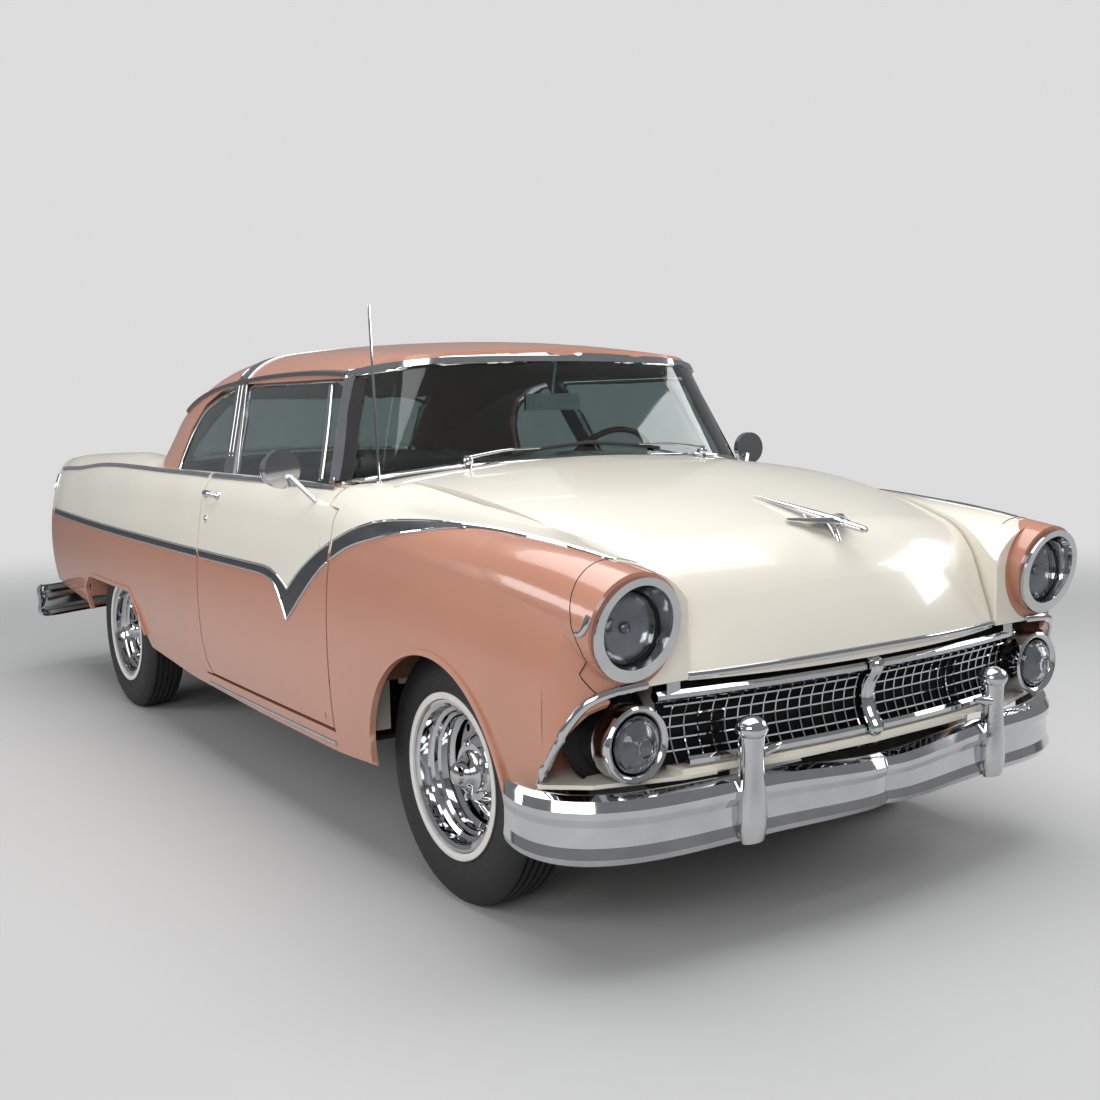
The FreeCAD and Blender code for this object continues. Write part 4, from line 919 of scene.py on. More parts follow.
@dataclass
class SideSpear(Sided):
    """Grey spear with bright edges and a dip on the door, one side of the car.

    Args:
        top: upper edge from the lamp pod to the tail, whose corner is named in split.
        bottom: lower edge, in the same way.
        split: where along y the dip's corners lie on the upper and lower edge.
        bead: width of the bright edges.
        stations: how many parts each edge has before its corner, and after it.
    """

    top: tuple[Point, ...] = (
        (0.738, -2.345, 0.972), (0.750, -2.300, 0.981), (0.765, -2.120, 1.004), (0.785, -1.928, 1.018),
        (0.816, -1.783, 1.026), (0.850, -1.632, 1.026), (0.883, -1.464, 1.015), (0.899, -1.371, 0.996),
        (0.908, -1.257, 0.960), (0.916, -1.132, 0.910), (0.921, -1.033, 0.859), (0.925, -0.962, 0.815),
        (0.927, -0.905, 0.772), (0.927, -0.872, 0.788), (0.925, -0.807, 0.813), (0.924, -0.723, 0.828),
        (0.923, -0.504, 0.829), (0.921, -0.109, 0.830), (0.912, 0.495, 0.832), (0.893, 1.270, 0.836),
        (0.85, 2.255, 0.848))
    bottom: tuple[Point, ...] = (
        (0.744, -2.345, 0.968), (0.757, -2.300, 0.975), (0.775, -2.120, 0.996), (0.801, -1.928, 1.008),
        (0.838, -1.783, 1.012), (0.874, -1.671, 1.003), (0.900, -1.494, 0.976), (0.910, -1.326, 0.938),
        (0.912, -1.193, 0.883), (0.923, -1.106, 0.832), (0.928, -1.002, 0.754), (0.930, -0.948, 0.712),
        (0.930, -0.900, 0.676), (0.929, -0.855, 0.735), (0.927, -0.808, 0.776), (0.926, -0.725, 0.800),
        (0.925, -0.504, 0.804), (0.923, -0.111, 0.804), (0.914, 0.492, 0.805), (0.893, 1.270, 0.808),
        (0.85, 2.255, 0.820))
    split: tuple[float, float] = (-0.905, -0.900)
    bead: float = 0.0080
    stations: int = 420

    def build(self) -> None:
        """Makes the spear on the fender, door and quarter."""
        rows = [self.row(self.top, self.split[0]), self.row(self.bottom, self.split[1])]
        spans = (("front_fender", "body", -2.40, -1.209), ("door", "door_*", -1.197, -0.092),
                 ("quarter_panel", "body", -0.080, 2.25))
        for part, body, start, end in spans:
            keep = [k for k in range(len(rows[0])) if start <= (rows[0][k].y + rows[1][k].y) / 2 <= end]
            self.part(part, body, [[row[k] for k in keep] for row in rows])

    def row(self, knots: tuple[Point, ...], corner: float) -> list[Vector]:
        """Places the stations of one edge, with its sharp corner kept.

        Args:
            knots: the edge on the left-hand side.
            corner: y of its corner.

        Returns:
            As many places as the other edge has.
        """
        side = [(self.hand.value * x, y, z) for x, y, z in knots]
        ahead = [p for p in side if p[1] <= corner]
        after = [p for p in side if p[1] >= corner]
        out: list[Vector] = []
        for run in (ahead, after):
            path = smooth_path(run, 0.004)
            out += [path[round(k * (len(path) - 1) / self.stations)] for k in range(self.stations + 1)]
        return out

    def part(self, part: str, body: str, rows: list[list[Vector]]) -> None:
        """The piece of spear on one panel.

        Args:
            part: the panel's node without its side.
            body: CAD body it moves with; "*" stands for the side.
            rows: upper and lower edge.
        """
        skin = self.skin(part)
        upper, lower = rows
        sheet = [skin.near([a.lerp(b, share) for a, b in zip(upper, lower)], 0.0022)[0]
                 for share in (0.0, 0.25, 0.5, 0.75, 1.0)]
        bm = bmesh.new()
        panel(bm, sheet, 0.0016)
        self.keep(bm, f"spear_{part}_infill", DARK_BAND, body)
        for word, row in (("upper", upper), ("lower", lower)):
            edge = bead(skin.near(row[::2] + row[-1:], 0.0015), self.bead, self.bead * 1.1)
            self.keep(edge, f"spear_{part}_{word}", CHROME, body)


@dataclass
class Moulding:
    """Bright strip that follows knots on the nearest CAD surface.

    Args:
        name: piece name, without its side.
        nodes: CAD nodes it lies on; "*" stands for the side.
        body: CAD body; "*" stands for the side.
        knots: places on the left-hand side, from the middle outwards where both is False.
        width: across.
        height: out from the surface.
        both: whether each side has one; otherwise one strip runs across the car.
        lift: height of its middle above the surface.
        finish: its material.
        spacing: distance between sections.
        heart: point that normals turn away from.
        facing: outward direction on the left-hand side of a strip that keeps to its knots.
    """

    name: str
    nodes: tuple[str, ...]
    body: str
    knots: tuple[Point, ...]
    width: float = 0.012
    height: float = 0.008
    both: bool = True
    lift: float = 0.001
    finish: Finish = CHROME
    spacing: float = 0.012
    heart: Point = (0, 0, 0.7)
    facing: Optional[Point] = None

    def build(self) -> None:
        """Makes the strip, on both sides where it has two."""
        for hand in (Hand if self.both else (Hand.LEFT,)):
            skin = Skin(*(node.replace("*", hand.word) for node in self.nodes))
            knots = self.knots if self.both else mirrored(self.knots)
            path = smooth_path([(hand.value * x, y, z) for x, y, z in knots], self.spacing)
            run = skin.near(path, self.lift, self.heart)
            if self.facing:
                run = (path, [Vector((hand.value * self.facing[0], *self.facing[1:]))] * len(path))
            side = f"_{hand.word}" if self.both else ""
            finish_mesh(bead(run, self.width, self.height, 10, 4), self.name + side,
                        self.body.replace("*", hand.word), self.finish)


def mouldings() -> list[Moulding]:
    """Lists the plain strips.

    Returns:
        One moulding for each strip or pair of strips.
    """
    door, quarter, body = ("door_*",), ("quarter_panel_*",), "body"
    belt = ((0.836, -1.100, 1.087), (0.852, -0.681, 1.094), (0.854, -0.105, 1.094))
    fin = ((0.854, -0.070, 1.094), (0.840, 0.563, 1.095), (0.811, 1.354, 1.093), (0.809, 1.871, 1.063),
           (0.790, 2.250, 1.049))
    return [
        Moulding("belt_moulding_door", door, "door_*", belt, 0.024, 0.014),
        Moulding("belt_moulding_quarter", quarter, body, fin, 0.022, 0.012),
        Moulding("door_window_trim", ("door_glass_*",), "door_*",
                 ((0.816, -1.012, 1.105), (0.745, -0.935, 1.320), (0.700, -0.880, 1.408),
                  (0.690, -0.600, 1.411), (0.690, -0.135, 1.410), (0.740, -0.185, 1.270),
                  (0.812, -0.245, 1.105)), 0.016, 0.012),
        Moulding("vent_window_post", ("door_glass_*",), "door_*",
                 ((0.712, -0.804, 1.405), (0.765, -0.868, 1.270), (0.818, -0.935, 1.110)), 0.022, 0.014),
        Moulding("quarter_window_trim", ("quarter_glass",), body,
                 ((0.816, -0.120, 1.105), (0.752, -0.060, 1.240), (0.706, 0.000, 1.396),
                  (0.712, 0.096, 1.385), (0.735, 0.270, 1.336), (0.772, 0.352, 1.256),
                  (0.808, 0.384, 1.160), (0.822, 0.390, 1.105)), 0.014, 0.010),
        Moulding("windshield_side_trim", ("roof_panel",), body,
                 ((0.812, -1.036, 1.106), (0.793, -1.019, 1.160), (0.775, -1.000, 1.210),
                  (0.753, -0.976, 1.270), (0.730, -0.954, 1.330), (0.706, -0.932, 1.392),
                  (0.698, -0.924, 1.424)), 0.052, 0.016, facing=(0.88, -0.32, 0.34)),
        Moulding("windshield_seal", ("windshield_glass",), body,
                 ((0.799, -1.072, 1.108), (0.780, -1.055, 1.160), (0.762, -1.036, 1.210),
                  (0.741, -1.012, 1.270), (0.719, -0.990, 1.330), (0.695, -0.968, 1.390),
                  (0.683, -0.960, 1.422)), 0.062, 0.007, facing=(0.84, -0.42, 0.34), finish=BLACK_TRIM_AND_SHADE),
        Moulding("windshield_header_trim", ("windshield_frame", "roof_panel"), body,
                 ((0, -1.138, 1.483), (0.400, -1.112, 1.474), (0.620, -1.020, 1.452), (0.700, -0.905, 1.436)),
                 0.034, 0.016, both=False, lift=0.002, heart=(0, 0.5, 1.2)),
        Moulding("windshield_base_trim", ("windshield_frame",), body,
                 ((0, -1.256, 1.154), (0.470, -1.230, 1.146), (0.740, -1.140, 1.118), (0.800, -1.060, 1.100)),
                 0.022, 0.016, both=False, lift=0.002, heart=(0, 0.5, 1.2)),
        Moulding("rear_window_trim", ("rear_window_glass",), body,
                 ((0, 0.660, 1.378), (0.468, 0.715, 1.368), (0.530, 0.900, 1.220), (0.560, 1.010, 1.135)),
                 0.022, 0.014, both=False),
        Moulding("rear_window_base_trim", ("rear_window_glass",), body,
                 ((0, 1.056, 1.130), (0.556, 1.030, 1.130)), 0.018, 0.014, both=False),
        Moulding("grille_surround", ("front_fender_*",), body,
                 ((0.700, -2.408, 0.690), (0.760, -2.408, 0.688), (0.820, -2.404, 0.680),
                  (0.866, -2.384, 0.655), (0.890, -2.345, 0.600), (0.900, -2.304, 0.535),
                  (0.905, -2.262, 0.458)), 0.022, 0.018, lift=0.004, heart=(0, 0.8, 0.7)),
        Moulding("hood_lip", ("hood",), "hood",
                 ((0, -2.466, 0.704), (0.300, -2.452, 0.700), (0.560, -2.412, 0.692), (0.690, -2.395, 0.690)),
                 0.017, 0.012, both=False, lift=0.003, heart=(0, 0.8, 0.9)),
        Moulding("rocker_moulding", ("rocker_*",), body,
                 ((0.905, -1.175, 0.330), (0.905, -0.600, 0.330), (0.905, -0.080, 0.330)), 0.014, 0.008),
        Moulding("tail_trim", quarter, body,
                 ((0.80, 2.322, 1.020), (0.815, 2.326, 0.930), (0.800, 2.326, 0.868)), 0.016, 0.010,
                 heart=(0, -0.8, 0.9)),
    ]


@dataclass
class BandLines:
    """Fine bright lines along the band over the roof.

    Args:
        foot: (y, z) of the band's middle at its foot.
        head: (y, z) of the band's middle at the roof.
        rim: (x, z) of the left-hand half, from its foot to the middle of the roof.
        offsets: each line's place along y, counted from the band's middle.
        width: across a line.
    """

    foot: tuple[float, float] = (-0.204, 1.060)
    head: tuple[float, float] = (-0.050, 1.424)
    rim: Pairs = (
        (0.812, 1.110), (0.790, 1.180), (0.760, 1.270), (0.727, 1.370), (0.700, 1.440), (0.640, 1.488),
        (0.530, 1.526), (0.270, 1.556), (0.0, 1.568))
    offsets: tuple[float, ...] = (-0.043, -0.016, 0.016, 0.043)
    width: float = 0.007

    def build(self) -> None:
        """Makes the lines over the roof and down both pillars."""
        skin = Skin("roof_band")
        slope = (self.head[0] - self.foot[0]) / (self.head[1] - self.foot[1])
        half = [(x, self.foot[0] + (z - self.foot[1]) * slope, z) for x, z in self.rim]
        for k, offset in enumerate(self.offsets):
            knots = [(x, y + offset, z) for x, y, z in half]
            knots += [(-x, y, z) for x, y, z in knots[-2::-1]]
            run = skin.near(smooth_path(knots, 0.015), 0.001, (0, 0, 0.9))
            finish_mesh(bead(run, self.width, 0.005, rounds=4), f"roof_band_line_{k + 1}", "body", CHROME)


@dataclass
class Headlamp(Sided):
    """Domed glass over a bright reflector, with a black gasket, the ring's hook trim and the pod's seam.

    Args:
        face_y: where the ring's face lies.
        radius: half the width of the glass.
        pod: radius of the seam round the lamp pod.
    """

    face_y: float = -2.414
    radius: float = 0.087
    pod: float = 0.165

    def build(self) -> None:
        """Makes one headlamp."""
        centre = (LAMP_X * self.hand.value, self.face_y + 0.03, LAMP_Z)
        self.optics(centre)
        self.trim()

    def optics(self, centre: Point) -> None:
        """Makes the glass, the reflector with its bulb shield, and the gasket.

        Args:
            centre: middle of the lamp.
        """
        r = self.radius
        arc = [(math.sin(a), math.cos(a)) for a in [math.pi / 2 * k / 10 for k in range(11)]]
        dome = [(r * sine, 0.014 + 0.030 * cosine) for sine, cosine in arc]
        inner = [(max(0.0, a - 0.004), b - 0.004) for a, b in reversed(dome)]
        self.keep(turned(dome + inner, centre, FORWARD, 48), "headlamp_glass", LAMP_GLASS, smooth=60,
                  stands_for="headlamp_lenses")
        bowl = [(r * sine, 0.010 - 0.042 * cosine) for sine, cosine in arc]
        back = [(r + 0.001, 0.010), (r + 0.001, -0.036), (0.0, -0.036)]
        bm = turned([(0.0, -0.036)] + bowl[1:] + back, centre, FORWARD, 48)
        lathe(bm, [(0.0, -0.004), (0.012, -0.002), (0.015, 0.008), (0.010, 0.016), (0.0, 0.018)], centre,
              FORWARD, 24)
        self.keep(bm, "headlamp_reflector", LAMP_BOWL, smooth=50)
        gasket = [(r - 0.002, 0.008), (r - 0.001, 0.020), (r + 0.003, 0.025), (r + 0.008, 0.024),
                  (r + 0.012, 0.018), (r + 0.012, 0.006), (r - 0.002, 0.006), (r - 0.002, 0.008)]
        self.keep(turned(gasket, centre, FORWARD, 48), "headlamp_gasket", TYRE_RUBBER, slot="trim_plastic")

    def trim(self) -> None:
        """Makes the hook on the fender's side and the seam round the pod."""
        s = self.hand.value
        skin = self.skin("front_fender")
        knots = [(s * 0.876, -2.432, 0.868), (s * 0.880, -2.420, 0.842), (s * 0.884, -2.402, 0.828),
                 (s * 0.890, -2.385, 0.826)]
        run = skin.near(smooth_path(knots, 0.006), 0.003, (LAMP_X * s, 0.05, LAMP_Z))
        last = len(run[0]) - 1
        hook = bead(run, 0.022, 0.010, 10, scale=[1.0 - 0.5 * k / last for k in range(last + 1)])
        self.keep(hook, "headlamp_hook", CHROME)
        ring = []
        for k in range(41):
            turn = math.radians(-75 + 195 * k / 40)
            z = LAMP_Z + self.pod * math.sin(turn)
            y = POD_SEAM_Y + POD_SEAM_LEAN * (POD_SEAM_Z - z)
            ring.append(Vector((s * (LAMP_X + self.pod * math.cos(turn)), y, z)))
        seam = bead(skin.near(ring, 0.0004, (LAMP_X * s, 0.0, LAMP_Z)), 0.0028, 0.0016, 6)
        self.keep(seam, "lamp_pod_seam", BLACK_TRIM_AND_SHADE)


@dataclass
class ParkingLamp(Sided):
    """Bright barrel with a rolled ring and a stepped conical lens, in front of a black dish that paints the
    shade of the opening round the lamp.

    Args:
        out: how far from the car's middle it stands.
        height: its middle above the floor.
    """

    out: float = 0.738
    height: float = 0.558

    def build(self) -> None:
        """Makes one parking lamp."""
        low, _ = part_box("parking_lamps")
        x = self.out * self.hand.value
        face = low.y + 0.040
        centre = (x, face, self.height)
        barrel = [(0.050, -0.165), (0.066, -0.150), (0.078, -0.110), (0.086, -0.062), (0.0885, -0.055),
                  (0.086, -0.049), (0.089, -0.030), (0.091, -0.006), (0.090, 0.004), (0.085, 0.009),
                  (0.078, 0.007), (0.072, 0.000), (0.069, -0.006), (0.068, -0.020), (0.050, -0.030),
                  (0.050, -0.165)]
        bm = turned(barrel, centre, FORWARD)
        lathe(bm, [(0.0, -0.165), (0.028, -0.165), (0.028, -0.205), (0.0, -0.205)], centre, FORWARD, 24)
        self.keep(bm, "parking_lamp_barrel", CHROME, stands_for="parking_lamps")
        lens = [(0.067, -0.014), (0.067, -0.002), (0.060, 0.008), (0.053, 0.012), (0.049, 0.013),
                (0.038, 0.024), (0.026, 0.031), (0.0235, 0.031), (0.021, 0.037), (0.012, 0.040),
                (0.0, 0.0405), (0.0, 0.033), (0.018, 0.029), (0.040, 0.012), (0.056, 0.002),
                (0.060, -0.014), (0.067, -0.014)]
        self.keep(turned(lens, centre, FORWARD), "parking_lamp_lens", LAMP_GLASS, smooth=25)
        bowl = [(0.0, -0.020), (0.040, -0.014), (0.0665, 0.000), (0.0665, -0.022), (0.0, -0.026),
                (0.0, -0.020)]
        self.keep(turned(bowl, centre, FORWARD, 48), "parking_lamp_reflector", LAMP_BOWL)
        # painted shade: a black dish behind the lamp that darkens the opening round it
        shade_dish = [(0.0, 0.0), (0.112, 0.0), (0.120, 0.012), (0.122, 0.012), (0.115, -0.003), (0.0, -0.003),
                (0.0, 0.0)]
        self.keep(turned(shade_dish, (x, face + 0.128, 0.565), FORWARD, 48), "parking_lamp_recess", BLACK_TRIM_AND_SHADE)


@dataclass
class GrilleTrim:
    """Ribbed strap over the middle of the bars, and a black sheet behind the hood lip that paints the shade
    in the grille opening.
    """

    def build(self) -> None:
        """Makes the strap and the black sheet of painted shade."""
        bm = bmesh.new()
        profile = [(-2.452, 0.672), (-2.466, 0.664), (-2.469, 0.652), (-2.464, 0.638), (-2.446, 0.610),
                   (-2.436, 0.571), (-2.446, 0.532), (-2.464, 0.504), (-2.469, 0.490), (-2.462, 0.478)]
        path = smooth_path([(0, y, z) for y, z in profile], 0.006)
        section = [(-0.024, -0.004), (0.024, -0.004), (0.024, 0.003), (0.016, 0.006), (0.010, 0.003),
                   (0.004, 0.009), (-0.004, 0.009), (-0.010, 0.003), (-0.016, 0.006), (-0.024, 0.003)]
        sweep(bm, path, [Vector(FORWARD)] * len(path), section)
        finish_mesh(bm, "grille_strap", "body", CHROME)
        # painted shade: a black sheet behind the bars that darkens the grille opening
        xs = [-0.640 + 1.280 * k / 40 for k in range(41)]
        back = [-2.462 + 0.062 * (x / 0.662) ** 2 + 0.046 for x in xs]
        bm = bmesh.new()
        heights = (0.480, 0.560, 0.620, 0.676)
        panel(bm, [[Vector((x, y, z)) for x, y in zip(xs, back)] for z in heights], 0.002)
        finish_mesh(bm, "grille_recess", "body", BLACK_TRIM_AND_SHADE)


@dataclass
class BumperTrim:
    """Round-headed bolts and the guards' side lugs, front or rear.

    Args:
        name: front or rear.
        sign: 1 at the front, -1 at the rear.
    """

    name: str
    sign: int

    def build(self) -> None:
        """Makes the bumper's small parts."""
        s = self.sign
        skin = Skin(f"{self.name}_bumper")
        bm = bmesh.new()
        bolt = [(0.0135, -0.002), (0.0135, 0.002), (0.011, 0.006), (0.006, 0.009), (0.0, 0.010)]
        for x, y, z in ((0.634, -2.60, 0.373), (0.905, -2.60, 0.385)):
            for hand in (1, -1):
                places, normals = skin.lay([Vector((hand * x, s * y, z))], (0, -s, 0))
                for place, normal in zip(places, normals):
                    lathe(bm, bolt, place, normal, 20)
        for hand in (1, -1):
            lug = [(hand * 0.425, s * -2.492, 0.505), (hand * 0.395, s * -2.492, 0.510),
                   (hand * 0.362, s * -2.490, 0.516)]
            tube(bm, lug, 0.013, 0.005, 14, lambda t: math.cos(1.45 * t) ** 0.5)
        finish_mesh(bm, f"{self.name}_bumper_bolts", "body", CHROME, smooth=50)


@dataclass
class HoodOrnament:
    """Swept-wing ornament on a long straight spear that starts flush with the hood.

    Args:
        spear: (y, size) from its tail to its nose.
        wing: (x, y, height, size) of the left-hand wing from root to tip.
    """

    spear: Pairs = (
        (-2.018, 0.12), (-2.050, 0.32), (-2.100, 0.55), (-2.180, 0.88), (-2.270, 1.15), (-2.338, 1.22),
        (-2.344, 0.86), (-2.350, 0.86), (-2.354, 1.20), (-2.362, 1.20), (-2.366, 0.92), (-2.400, 1.00),
        (-2.420, 0.92), (-2.429, 0.50))
    wing: tuple[tuple[float, float, float, float], ...] = (
        (0.002, -2.312, 1.014, 1.15), (0.030, -2.292, 1.015, 0.92), (0.060, -2.270, 1.017, 0.66),
        (0.085, -2.252, 1.019, 0.48), (0.098, -2.243, 1.020, 0.40))

    @staticmethod
    def height(y: float) -> float:
        """Height of the spear's middle line."""
        return ORNAMENT_TAIL_Z + (y - ORNAMENT_TAIL_Y) * ORNAMENT_SLOPE

    def build(self) -> None:
        """Makes the spear, its foot and the wings."""
        bm = bmesh.new()
        places = [Vector((0, y, self.height(y))) for y, _ in self.spear]
        sizes = [size for _, size in self.spear]
        sweep(bm, places, [Vector(UP)] * len(places), ring_section(0.026, 0.020, 18), sizes)
        blade = [(-0.5, 0.0), (-0.46, 0.08), (-0.2, 0.13), (0.2, 0.13), (0.46, 0.08), (0.5, 0.0),
                 (0.44, -0.05), (-0.44, -0.05)]
        section = [(0.072 * u, 0.072 * v) for u, v in blade]
        for hand in (1, -1):
            places = [Vector((hand * x, y, z)) for x, y, z, _ in self.wing]
            sweep(bm, places, [Vector(UP)] * len(places), section, [size for *_, size in self.wing])
        tube(bm, [(0, -2.330, 0.960), (0, -2.318, 0.985), (0, -2.295, 1.012)], 0.009, 0.008, 14, None, 1.3)
        tube(bm, [(0, -2.235, 1.006), (0, -2.225, 1.016), (0, -2.205, 1.032)], 0.008, 0.006, 14)
        finish_mesh(bm, "jet_ornament", "hood", CHROME, smooth=40, stands_for="hood_ornament")


@dataclass
class Wiper(Sided):
    """Bright arm and blade, parked along the foot of the glass.

    Args:
        pivot: where the arm turns, on the left-hand side.
        line: (x, z) of the blade from its outer to its inner end.
    """

    pivot: Point = (0.473, -1.262, 1.166)
    line: Pairs = ((0.300, 1.180), (0.200, 1.192), (0.080, 1.202), (-0.020, 1.208))

    def build(self) -> None:
        """Makes one wiper."""
        s = self.hand.value
        spots = [Vector((s * x, -1.25, z)) for x, z in self.line]
        run, outs = Skin("windshield_glass").near(spots, 0.010, (0, 0.6, 1.2))
        pivot = Vector((s * self.pivot[0], *self.pivot[1:]))
        bm = turned([(0.016, -0.012), (0.016, 0.004), (0.012, 0.010), (0.0, 0.012)], pivot, (0, -0.35, 1), 24)
        arm = [pivot + Vector((0, 0, 0.006)), pivot.lerp(run[1], 0.5) + Vector((0, -0.006, 0.012)),
               run[1] + outs[1] * 0.010]
        tube(bm, arm, 0.0045, 0.010, 10, lambda t: 1.3 - 0.6 * t)
        self.keep(bm, "wiper_arm", CHROME)
        bm = bmesh.new()
        tube(bm, run, 0.0045, 0.012, 8, None, 1.3)
        self.keep(bm, "wiper_blade", TYRE_RUBBER, slot="trim_plastic")


@dataclass
class DoorHardware(Sided):
    """Pull handle, lock button, inner trim panel and arm rest of one door."""

    def build(self) -> None:
        """Makes the door's fittings."""
        self.outside()
        self.inside()

    def outside(self) -> None:
        """Makes the pull handle, its roses and the lock button."""
        s = self.hand.value
        skin = self.skin("door")
        side = (-s, 0, 0)
        pull = [Vector((s, y, 1.030)) for y in (-0.245, -0.220, -0.190, -0.155, -0.130)]
        spots, outs = skin.lay(pull, side)
        lifts = (0.006, 0.020, 0.027, 0.022, 0.008)
        bm = bmesh.new()
        tube(bm, [p + n * lift for p, n, lift in zip(spots, outs, lifts)], 0.0085, 0.006, 14,
             lambda t: 0.8 + 0.5 * math.sin(math.pi * t), 0.75, (s, 0, 0))
        rose = [(0.015, -0.002), (0.015, 0.004), (0.011, 0.010), (0.0, 0.010)]
        for end in (0, -1):
            lathe(bm, rose, spots[end], outs[end], 24)
        lock, way = skin.lay([Vector((s, -0.150, 0.945))], side)
        button = [(0.0135, -0.002), (0.0135, 0.003), (0.010, 0.005), (0.009, 0.0035), (0.0, 0.0035)]
        lathe(bm, button, lock[0], way[0], 24)
        self.keep(bm, "door_handle", CHROME, "door_*", smooth=45)

    def inside(self) -> None:
        """Makes the trim panel, the arm rest and the bright strips with the pull."""
        s = self.hand.value
        x = DOOR_INNER_X
        self.box("door_trim_panel", SEAT_VINYL, (x, x - 0.008), (-0.985, 0.500), (-0.150, 1.040), 0.003, 2)
        self.box("door_arm_rest", SEAT_CLOTH, (x - 0.008, x - 0.050), (-0.620, 0.770), (-0.300, 0.812),
                 0.012, 3)
        bm = bmesh.new()
        for z in (0.640, 0.900):
            tube(bm, [(s * (x - 0.009), y, z) for y in (-0.970, -0.165)], 0.004, 0.05, 8)
        pull = [(s * (x - 0.012), -0.760, 0.880), (s * (x - 0.030), -0.760, 0.874),
                (s * (x - 0.034), -0.760, 0.810)]
        tube(bm, pull, 0.006, 0.01, 10)
        self.keep(bm, "door_inner_bright", CHROME, "door_*")

    def box(self, name: str, finish: Finish, depth: tuple[float, float], low: tuple[float, float],
            high: tuple[float, float], edge: float, segments: int) -> None:
        """Makes one block on the door's inner face.

        Args:
            name: piece name, without its side.
            finish: its material.
            depth: its outer and inner face on the left-hand side.
            low: lowest (y, z).
            high: highest (y, z).
            edge: rounding radius.
            segments: facets round an edge.
        """
        near, far = sorted(self.hand.value * x for x in depth)
        bm = bmesh.new()
        block(bm, (near, *low), (far, *high), edge, segments)
        self.keep(bm, name, finish, "door_*")


@dataclass
class MirrorGlass(Sided):
    """Silvered glass of a door mirror."""

    def build(self) -> None:
        """Sets the glass on the mirror's rear face."""
        _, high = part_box(f"door_mirror_{self.hand.word}")
        centre = (self.hand.value * 0.971, high.y - 0.0015, high.z - 0.063)
        disc = [(0.0, -0.002), (0.050, -0.002), (0.052, 0.0005), (0.050, 0.002), (0.0, 0.0015)]
        self.keep(turned(disc, centre, (0, 1, 0), 40), "door_mirror_glass", SILVERED, "door_*")


@dataclass
class WheelTrim(Sided):
    """Stepped ring, bullet cap and wheel nuts over a rim.

    Args:
        place: front or rear.
        depth: how far the face that heights are counted from lies inside the rim's edge.
        nuts: how many there are.
        nut_circle: their distance from the axle's middle.
    """

    place: str
    depth: float = 0.088
    nuts: int = 5
    nut_circle: float = 0.078

    def build(self) -> None:
        """Makes the wheel's bright trim."""
        s = self.hand.value
        low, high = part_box(f"rim_{self.place}_{self.hand.word}")
        centre = Vector(((low.x + high.x) / 2, (low.y + high.y) / 2, (low.z + high.z) / 2))
        tip = high.x if s > 0 else -low.x
        face = Vector((s * (tip - self.depth), centre.y, centre.z))
        axis = (s, 0, 0)
        ring = [(0.156, 0.012), (0.160, 0.030), (0.168, 0.036), (0.171, 0.046), (0.182, 0.052),
                (0.190, 0.070), (0.199, 0.074), (0.2035, 0.070), (0.2035, 0.062), (0.194, 0.058),
                (0.184, 0.044), (0.174, 0.036), (0.165, 0.026), (0.162, 0.010), (0.156, 0.012)]
        cap = [(0.0, 0.0225), (0.056, 0.0225), (0.060, 0.026), (0.058, 0.034), (0.050, 0.038), (0.044, 0.044),
               (0.040, 0.056), (0.033, 0.068), (0.030, 0.070), (0.026, 0.080), (0.014, 0.0865), (0.0, 0.0875)]
        bm = turned(ring, face, axis, 72)
        lathe(bm, cap, face, axis, 48)
        for k in range(self.nuts):
            turn = math.tau * k / self.nuts
            spot = face + Vector((s * 0.016, self.nut_circle * math.cos(turn),
                                  self.nut_circle * math.sin(turn)))
            lathe(bm, [(0.0105, -0.006), (0.0105, 0.014), (0.008, 0.019), (0.0, 0.021)], spot, axis, 6)
        self.keep(bm, f"wheel_trim_{self.place}", CHROME, f"wheel_{self.place}_*", smooth=28)


@dataclass
class TailLamp(Sided):
    """Round red lens in steps, one side."""

    def build(self) -> None:
        """Makes one tail lamp."""
        centre = (0.722 * self.hand.value, 2.335, 0.790)
        lens = [(0.0, 0.0), (0.059, 0.0), (0.059, 0.028), (0.052, 0.036), (0.040, 0.041), (0.038, 0.038),
                (0.024, 0.043), (0.022, 0.041), (0.0, 0.0445), (0.0, 0.0)]
        self.keep(turned(lens, centre, (0, 1, 0), 48), "tail_lamp_glass", LAMP_RED, smooth=25,
                  stands_for="tail_lamp_lenses")


